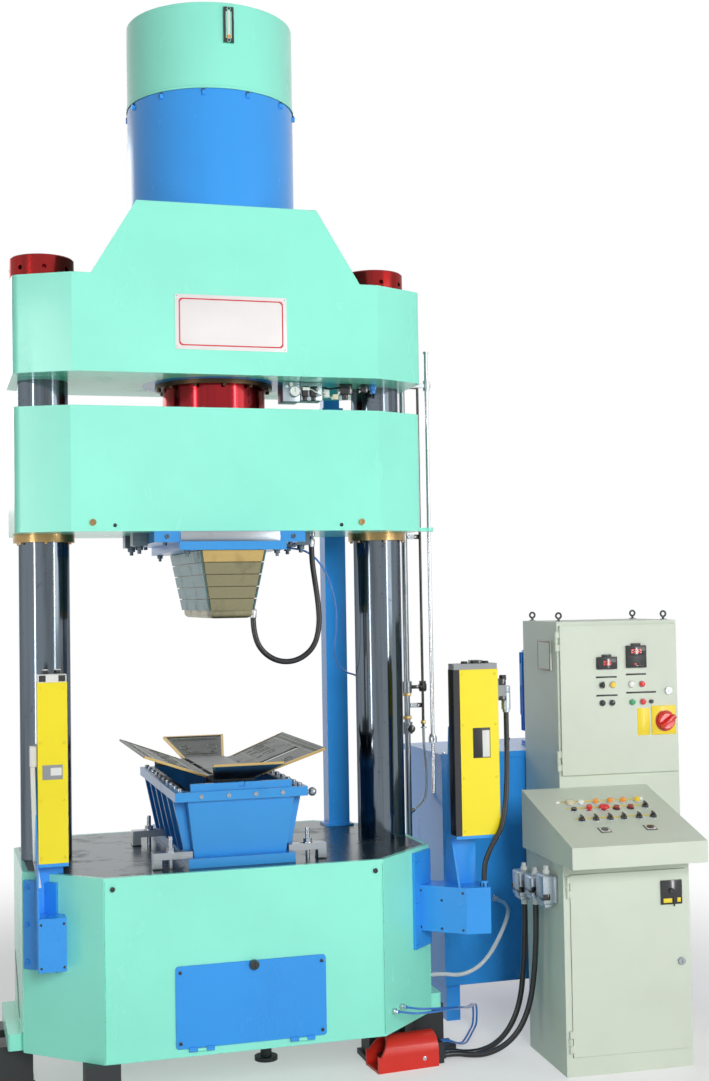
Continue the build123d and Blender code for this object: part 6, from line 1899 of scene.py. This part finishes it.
@dataclass
class CabinetDress:
    """Meters, keys and main switch on the cabinet's door, and its small fittings."""

    door_y: float = 384.0
    meters: Sequence[tuple[Span, Span]] = (((308.0, 396.0), (1484.0, 1534.0)),
                                           ((436.0, 524.0), (1487.0, 1577.0)))
    keys: Sequence[tuple[float, float, Finish, bool]] = (
        (331.0, 1420.0, BLACK_GLOSS, True), (378.0, 1420.0, YELLOW_CAP, False),
        (459.0, 1420.0, WHITE_CAP, False), (505.0, 1420.0, RED_CAP, False), (331.0, 1348.0, BLACK, False),
        (373.0, 1348.0, BLACK_GLOSS, False), (461.0, 1348.0, GREEN_CAP, False),
        (507.0, 1348.0, SWITCH_RED, False))
    switch: tuple[float, float] = (602.0, 1268.0)

    def _front(self, x: float, out: float, z: float) -> Matrix:
        """Place on the door, own Z outward."""
        return facing_front(x, self.door_y - out, z)

    def panel_meters(self) -> None:
        """Dark meter cases with red digits."""
        y = self.door_y
        cases, glass, digits = Solid(DESK), Solid(DESK), Solid(DESK)
        for index, ((x0, x1), (z0, z1)) in enumerate(self.meters):
            cases.box((x0, x1), (y - 12, y - 0.2), (z0, z1), 2.5)
            cases.box((x0 + 24, x1 - 24), (y - 9, y - 0.2), (z1 - 2, z1 + 9), 1.5)
            glass.box((x0 + 7, x1 - 7), (y - 12.7, y - 11.6), (z0 + (8 if index == 0 else 50), z1 - 8), 0.4)
            middle = (z0 + z1) / 2 if index == 0 else z1 - 23
            for k in range(3 + index):
                self._digit(digits, (x0 + x1) / 2 - 6 * (3 + index) + 12 * k + 2, y - 13.2, middle, k)
            glass.box((x0 + 12, x1 - 12), (y - 12.6, y - 11.6), (z0 + 6, z0 + 10), 0.4)
        digits.box((470, 477), (y - 13.2, y - 12.6), (1500, 1503.5), 0.1)
        cases.make("meter_cases", BLACK, "cabinet_door", replaces=("cabinet_instruments",))
        glass.make("meter_windows", DARK_WINDOW, "cabinet_door")
        digits.make("meter_digits", DIGITS, "cabinet_door", "controls")

    @staticmethod
    def _digit(solid: Solid, x: float, y: float, z: float, figure: int) -> None:
        """One seven-bar figure.

        Args:
            solid: Where it is added.
            x: Its left edge.
            y: Its face.
            z: Its middle height.
            figure: Which bars are lit, by turns.
        """
        bars = ((0, 7, 6.2, 7.6), (0, 7, -0.7, 0.7), (0, 7, -7.6, -6.2), (0, 1.4, 0.7, 6.8),
                (5.6, 7, 0.7, 6.8), (0, 1.4, -6.8, -0.7), (5.6, 7, -6.8, -0.7))
        lit = ((0, 2, 3, 4, 5, 6), (0, 1, 2, 4, 6), (0, 1, 2, 3, 6), (0, 2, 3, 4, 5, 6))[figure % 4]
        for k in lit:
            x0, x1, z0, z1 = bars[k]
            solid.box((x + x0, x + x1), (y, y + 0.6), (z + z0, z + z1), 0.0)

    def controls(self) -> None:
        """Keys, the blank strips above them and the selector."""
        rings = Solid(DESK)
        caps: dict[Finish, Solid] = {}
        for x, z, finish, selects in self.keys:
            rings.turned([(14, 0.2), (14, 2.4), (12.6, 3.4), (11.5, 3.4)], self._front(x, 0, z), 32)
            cap = caps.setdefault(finish, Solid(DESK))
            cap.turned([(11.6, 0.4), (11.8, 8), (10.6, 11), (7, 12.6), (0, 13)], self._front(x, 0, z), 32)
            if selects:
                cap.box((-4, 4), (-12, 15), (12, 23), 2.0, turn=self._front(x, 0, z))
        caps[BLACK].turned([(8, 0.2), (8, 12), (6.6, 13.6), (0, 13.6)], self._front(542, 0, 1348), 24)
        rings.make("key_rings", STEEL, "cabinet_door")
        for finish, solid in caps.items():
            solid.make(f"cabinet_{finish.name}_caps", finish, "cabinet_door", "controls")
        strips = Solid(DESK)
        y = self.door_y
        for x0, x1, z in ((306, 396, 1452), (436, 524, 1460), (306, 398, 1378), (436, 566, 1386)):
            strips.box((x0, x1), (y - 1.2, y - 0.1), (z - 3.4, z + 3.4), 0.2)
        strips.make("cabinet_strips", BLACK, "cabinet_door")

    def main_switch(self) -> None:
        """Yellow plates and the red rotary handle."""
        y = self.door_y
        x, z = self.switch
        plates = Solid(DESK).box((544, 650), (y - 4, y - 0.2), (1212, 1330), 2.0)
        plates.box((482, 536), (y - 1.2, y - 0.1), (1212, 1322), 0.3)
        plates.make("switch_plates", SWITCH_YELLOW, "cabinet_door")
        ring = Solid(DESK).turned([(43, 0), (43, 1.4), (39, 2.0), (39, 0)], self._front(x, 4, z), 48)
        ring.make("switch_ring", PLATE_RED, "cabinet_door")
        handle = Solid(DESK)
        seat = self._front(x, 0, z)
        handle.turned([(9.9, -12), (9.9, 4), (37, 4.4), (38, 6), (38, 18), (36, 23), (30, 27.6),
                       (12, 27.8), (0, 27.8)], seat @ at(0, 0, 0.4), 56)
        bar = seat @ Matrix.Rotation(math.radians(-55), 4, "Z")
        handle.box((-9, 9), (-37, 37), (27, 46), 3.5, turn=bar)
        for k in range(12):
            turn = seat @ Matrix.Rotation(math.radians(30 * k), 4, "Z")
            handle.box((35.6, 38.6), (-3.4, 3.4), (6, 19), 1.2, turn=turn)
        handle.make("switch_handle", SWITCH_RED, "main_switch", "red_plastic",
                    replaces=("main_switch_handle",))

    def cabinet(self) -> None:
        """Label holder, black seal lines round the door that are partly rubber and partly painted shade of
        the door gap, and washers under the lifting eyes.
        """
        frame_bits, black = Solid(DESK), Solid(DESK)
        for z0, z1 in ((1480, 1486), (1594, 1600)):
            frame_bits.box((137.0, 140.0), (458, 600), (z0, z1), 1.0)
        for y0, y1 in ((458, 464), (594, 600)):
            frame_bits.box((137.0, 140.0), (y0, y1), (1480, 1600), 1.0)
        frame_bits.make("label_holder", DARK_RIM)
        black.box((138.6, 141.0), (466, 592), (1488, 1592), 0.4)
        black.make("label_holder_inside", PLINTH, slot="console_paint")
        # Black lines round the door: rubber seal and painted shade of the gap.
        seals_and_gap_shade = Solid(DESK)
        for x0, x1, z0, z1 in ((158, 161, 1074, 1650), (653, 656, 1074, 1650), (158, 656, 1647, 1650),
                               (158, 656, 1074, 1077)):
            seals_and_gap_shade.box((x0, x1), (399.3, 400.8), (z0, z1), 0.2)
        seals_and_gap_shade.make("cabinet_seals_and_gap_shade", BLACK)
        roof = Solid(DESK)
        for x in (169, 627):
            for y in (430, 740):
                roof.turned([(15, 0), (15, 3), (12, 4), (0, 4)], at(x, y, 1677.8), 24)
        roof.make("eye_washers", STEEL)

    def console(self) -> None:
        """Black instrument with plain yellow marks and its knob."""
        box = Solid(DESK).box((385, 473), (-12, -4.6), (613, 704), 2.0)
        box.make("console_instrument", BLACK_GLOSS, "console_door")
        marks = Solid(DESK).box((396, 431), (-12.8, -11.8), (620, 636), 0.3)
        marks.box((452, 466), (-12.8, -11.8), (621, 637), 0.3)
        marks.make("console_marks", SWITCH_YELLOW, "console_door")
        knob = Solid(DESK).turned([(11, 0), (11, 6), (9, 8), (0, 8)], facing_front(429, -11.8, 664), 32)
        knob.box((436, 442), (-15, -11), (606, 640), 1.0)
        knob.make("console_knob", BLACK, "console_door")

    def build(self) -> None:
        """Make everything on the cabinet and the console."""
        self.panel_meters()
        self.controls()
        self.main_switch()
        self.cabinet()
        self.console()


@dataclass
class PowerUnitDress:
    """Cooling ribs, painted shade of the fan cowl's slot openings and lid screws of the power unit."""

    motor: tuple[float, float] = (1600.0, 450.0)
    top: float = 1590.0

    def build(self) -> None:
        """Make ribs, the painted opening shade and screws."""
        x, y = self.motor
        ribs = Solid()
        for k in range(36):
            turn = at(x, y, 0) @ Matrix.Rotation(math.radians(10 * k), 4, "Z")
            ribs.box((104, 124), (-1.6, 1.6), (1180, 1480), 0.6, turn=turn)
        ribs.make("motor_ribs", BLUE)
        # Black rings on the fan cowl stand for its open slots: painted shade.
        slot_shade = Solid()
        for reach in (30, 52, 74, 96):
            slot_shade.turned([(reach, 0), (reach + 7, 0), (reach + 7, 1.2), (reach, 1.2), (reach, 0)],
                         at(x, y, self.top - 0.8), 48)
        slot_shade.make("fan_slot_shade", BLACK)
        screws = Solid()
        for sx in (1010, 1250, 1500, 1750):
            for sy in (215, 685):
                screws.hexagon(13, (0, 7), at(sx, sy, 1121.6))
        screws.make("tank_lid_screws", BRIGHT)


@dataclass
class PedalDress:
    """Ribbed tread, hinge pins and conduit nuts of the foot switch."""

    rib_start: float = 56.0
    rib_pitch: float = 14.0
    pin_x: float = 190.0
    pin_z: float = 36.0
    side_x: float = 275.5
    conduits: Sequence[float] = (32.0, 66.0)
    tubes: Sequence[float] = (88.0, 104.0)

    def build(self) -> None:
        """Make ribs, pins and nuts."""
        ribs = Solid(PEDAL)
        for k in range(9):
            x = self.rib_start + self.rib_pitch * k
            z = 44 - (x - 44) * 6 / 141 - 0.2
            ribs.box((x, x + 5), (20, 110), (z, z + 2.6), 0.8)
        ribs.make("treadle_ribs", BLACK_GLOSS, "treadle")
        pins = Solid(PEDAL)
        for y, run in ((-0.2, 90), (130.2, -90)):
            pins.turned([(8, 0), (8, 1.6), (6, 2.6), (0, 2.6)],
                        at(self.pin_x, y, self.pin_z) @ Matrix.Rotation(math.radians(run), 4, "X"), 20)
        pins.make("pedal_pins", BRIGHT)
        nuts = Solid(PEDAL)
        for y in self.conduits:
            nuts.turned([(16, 0), (16.5, 2), (16.5, 8), (14, 10)], facing_right(self.side_x, y, 28), 6)
        for y in self.tubes:
            nuts.turned([(7.6, 0), (7.6, 8), (6, 10)], facing_right(self.side_x, y, 62), 20)
        nuts.make("pedal_nuts", BLACK_GLOSS)


@dataclass
class PipeDress:
    """Brass and black couplings, clip screws and the tap on the service pipes."""

    grey: tuple[float, float] = (897.0, 355.0)
    black: tuple[float, float] = (969.0, 355.0)

    def build(self) -> None:
        """Make couplings, tap and clip screws."""
        gx, y = self.grey
        bx, _ = self.black
        brass, dark, bright = Solid(), Solid(), Solid()
        for z in (1262, 1362):
            brass.hexagon(34, (0, 14), at(gx, y, z))
        brass.hexagon(24, (0, 12), facing_left(gx - 40, y, 1400))
        brass.hexagon(20, (0, 14), at(bx, y, 1240))
        brass.make("pipe_nuts", BRASS)
        dark.turned([(10, 0), (17, 2), (18, 8), (17, 12), (6, 14), (0, 14)],
                    facing_front(gx, y - 44, 1225), 12)
        dark.turned([(16, 0), (18, 4), (18, 26), (15, 32)], at(bx, y, 1384), 28)
        dark.box((gx + 14, bx - 10), (y - 8, y + 8), (1392, 1408), 3.0)
        dark.make("pipe_taps", BLACK_GLOSS)
        for z in (1320, 2050, 2560):
            for x in (gx + 22, bx - 20):
                bright.socket_screw(facing_front(x, y + 5.4, z), 4.5)
        bright.turned([(15, 0), (15, 3), (12.6, 6), (8, 6.4)], at(bx, y, 1222), 28)
        bright.make("pipe_clip_screws", BRIGHT)


@dataclass
class StopRod:
    """Collar screw and nut of the stroke rod."""

    x: float = 887.0

    def build(self) -> None:
        """Make the screw and nut."""
        screw = Solid().socket_screw(facing_front(self.x + 6, -15.6, 1208), 4.5)
        screw.hexagon(24, (0, 9), at(self.x, 0, 1220.4))
        screw.make("collar_screw", BRIGHT)


@dataclass
class GuideDress:
    """Wiper rings of the four guides and the crosshead's grease nipples."""

    column_x: float = 662.5

    def build(self) -> None:
        """Make wipers and nipples on the crosshead."""
        wipers, screws = Solid(), Solid()
        for side in (-1, 1):
            x = side * self.column_x
            for z in (2040.5, 2511.5):
                wipers.turned([(96.2, 0), (108, 0), (108, 3), (97.5, 5), (96.2, 5), (96.2, 0)],
                              at(x, 0, z), 64)
        wipers.make("guide_wipers", BLACK_GLOSS, "crosshead")
        for x in (-430, 430):
            screws.turned([(7, -0.5), (7, 3), (5.6, 4.4), (2.4, 8), (1.8, 11), (0, 11.4)],
                          facing_front(x, -299.4, 2070), 18)
        screws.make("grease_nipples", DARK_STEEL, "crosshead")


# Carried-over nodes

DRESS: dict[str, Finish] = {
    "base_frame": MINT, "base_webs": MINT, "crown": MINT, "crosshead": MINT, "oil_tank": MINT,
    "main_cylinder": BLUE, "rear_duct": BLUE, "access_flap": BLUE, "left_guard_bracket": BLUE,
    "right_guard_bracket": BLUE, "power_unit": BLUE,
    "table_plate": TABLE, "ejector_plate": EJECTOR, "machine_feet": IRON, "columns": COLUMN, "ram": RAM,
    "column_nuts": RED_NUT, "guide_bushes": BRONZE, "gland_flange": OILED_BRONZE, "stroke_rod": BRIGHT,
    "mould_box": TOOL_BLUE, "mould_fasteners": STEEL, "mould_clamps": STEEL, "punch_holder": TOOL_BLUE,
    "holder_fittings": CLAMP_STEEL, "punch": PUNCH, "left_leaf": LEAF, "right_leaf": LEAF, "front_leaf": LEAF,
    "back_leaf": LEAF, "flap_knob": DARK_STEEL, "console_body": CABINET, "console_door": CABINET,
    "console_lock": STEEL, "cabinet_door": CABINET, "cabinet_lock": STEEL, "foot_treadle": BLACK,
    "pressure_pipes": Zoned("service_pipes", GALVANISED, BLACK_GLOSS, (1.0, 0.0, 0.0), 0.945),
    "left_light_curtain": Zoned("left_curtain", SAFETY_YELLOW, DARK_WINDOW, (1.0, 0.0, 0.0), -0.6182),
    "right_light_curtain": Zoned("right_curtain", DARK_WINDOW, SAFETY_YELLOW, (1.0, 0.0, 0.0), 0.8482),
    "curtain_caps": Zoned("curtain_caps", PALE, GREY, (1.0, 0.0, 0.0), 0.5),
    "cabinet_body": Zoned("cabinet_and_eyes", CABINET, DARK_STEEL, (0.0, 0.0, 1.0), 1.679),
    "pedal_hood": Zoned("pedal_and_box", PEDAL_RED, BLACK, (0.99619, 0.08716, 0.0), 0.745),
}


def dress_nodes(nodes: dict[str, bpy.types.Object]) -> None:
    """Give each carried-over CAD node its finish.

    Args:
        nodes: The CAD nodes by name.
    """
    for name, finish in DRESS.items():
        node = nodes[name]
        node.data.materials.clear()
        node.data.materials.append(finish.material())
        log.info("dressed %s in %s", name, finish.name)


# Whole scene


def main() -> None:
    """Build the studio, the cords and every dressed sub-assembly, in order."""
    logging.basicConfig(level=logging.INFO, format="%(message)s")
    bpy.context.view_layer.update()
    Studio().build()
    Cords().build()
    dress_nodes(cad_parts)
    for piece in (CrownDress(), CrownValves(), Fittings(), PunchDress(), *LEAVES, MouldDress(), BaseDress(),
                  CurtainDress(), DeskControls(), CabinetDress(), PowerUnitDress(), PedalDress(), PipeDress(),
                  StopRod(), GuideDress()):
        piece.build()


if __name__ == "__main__":
    main()
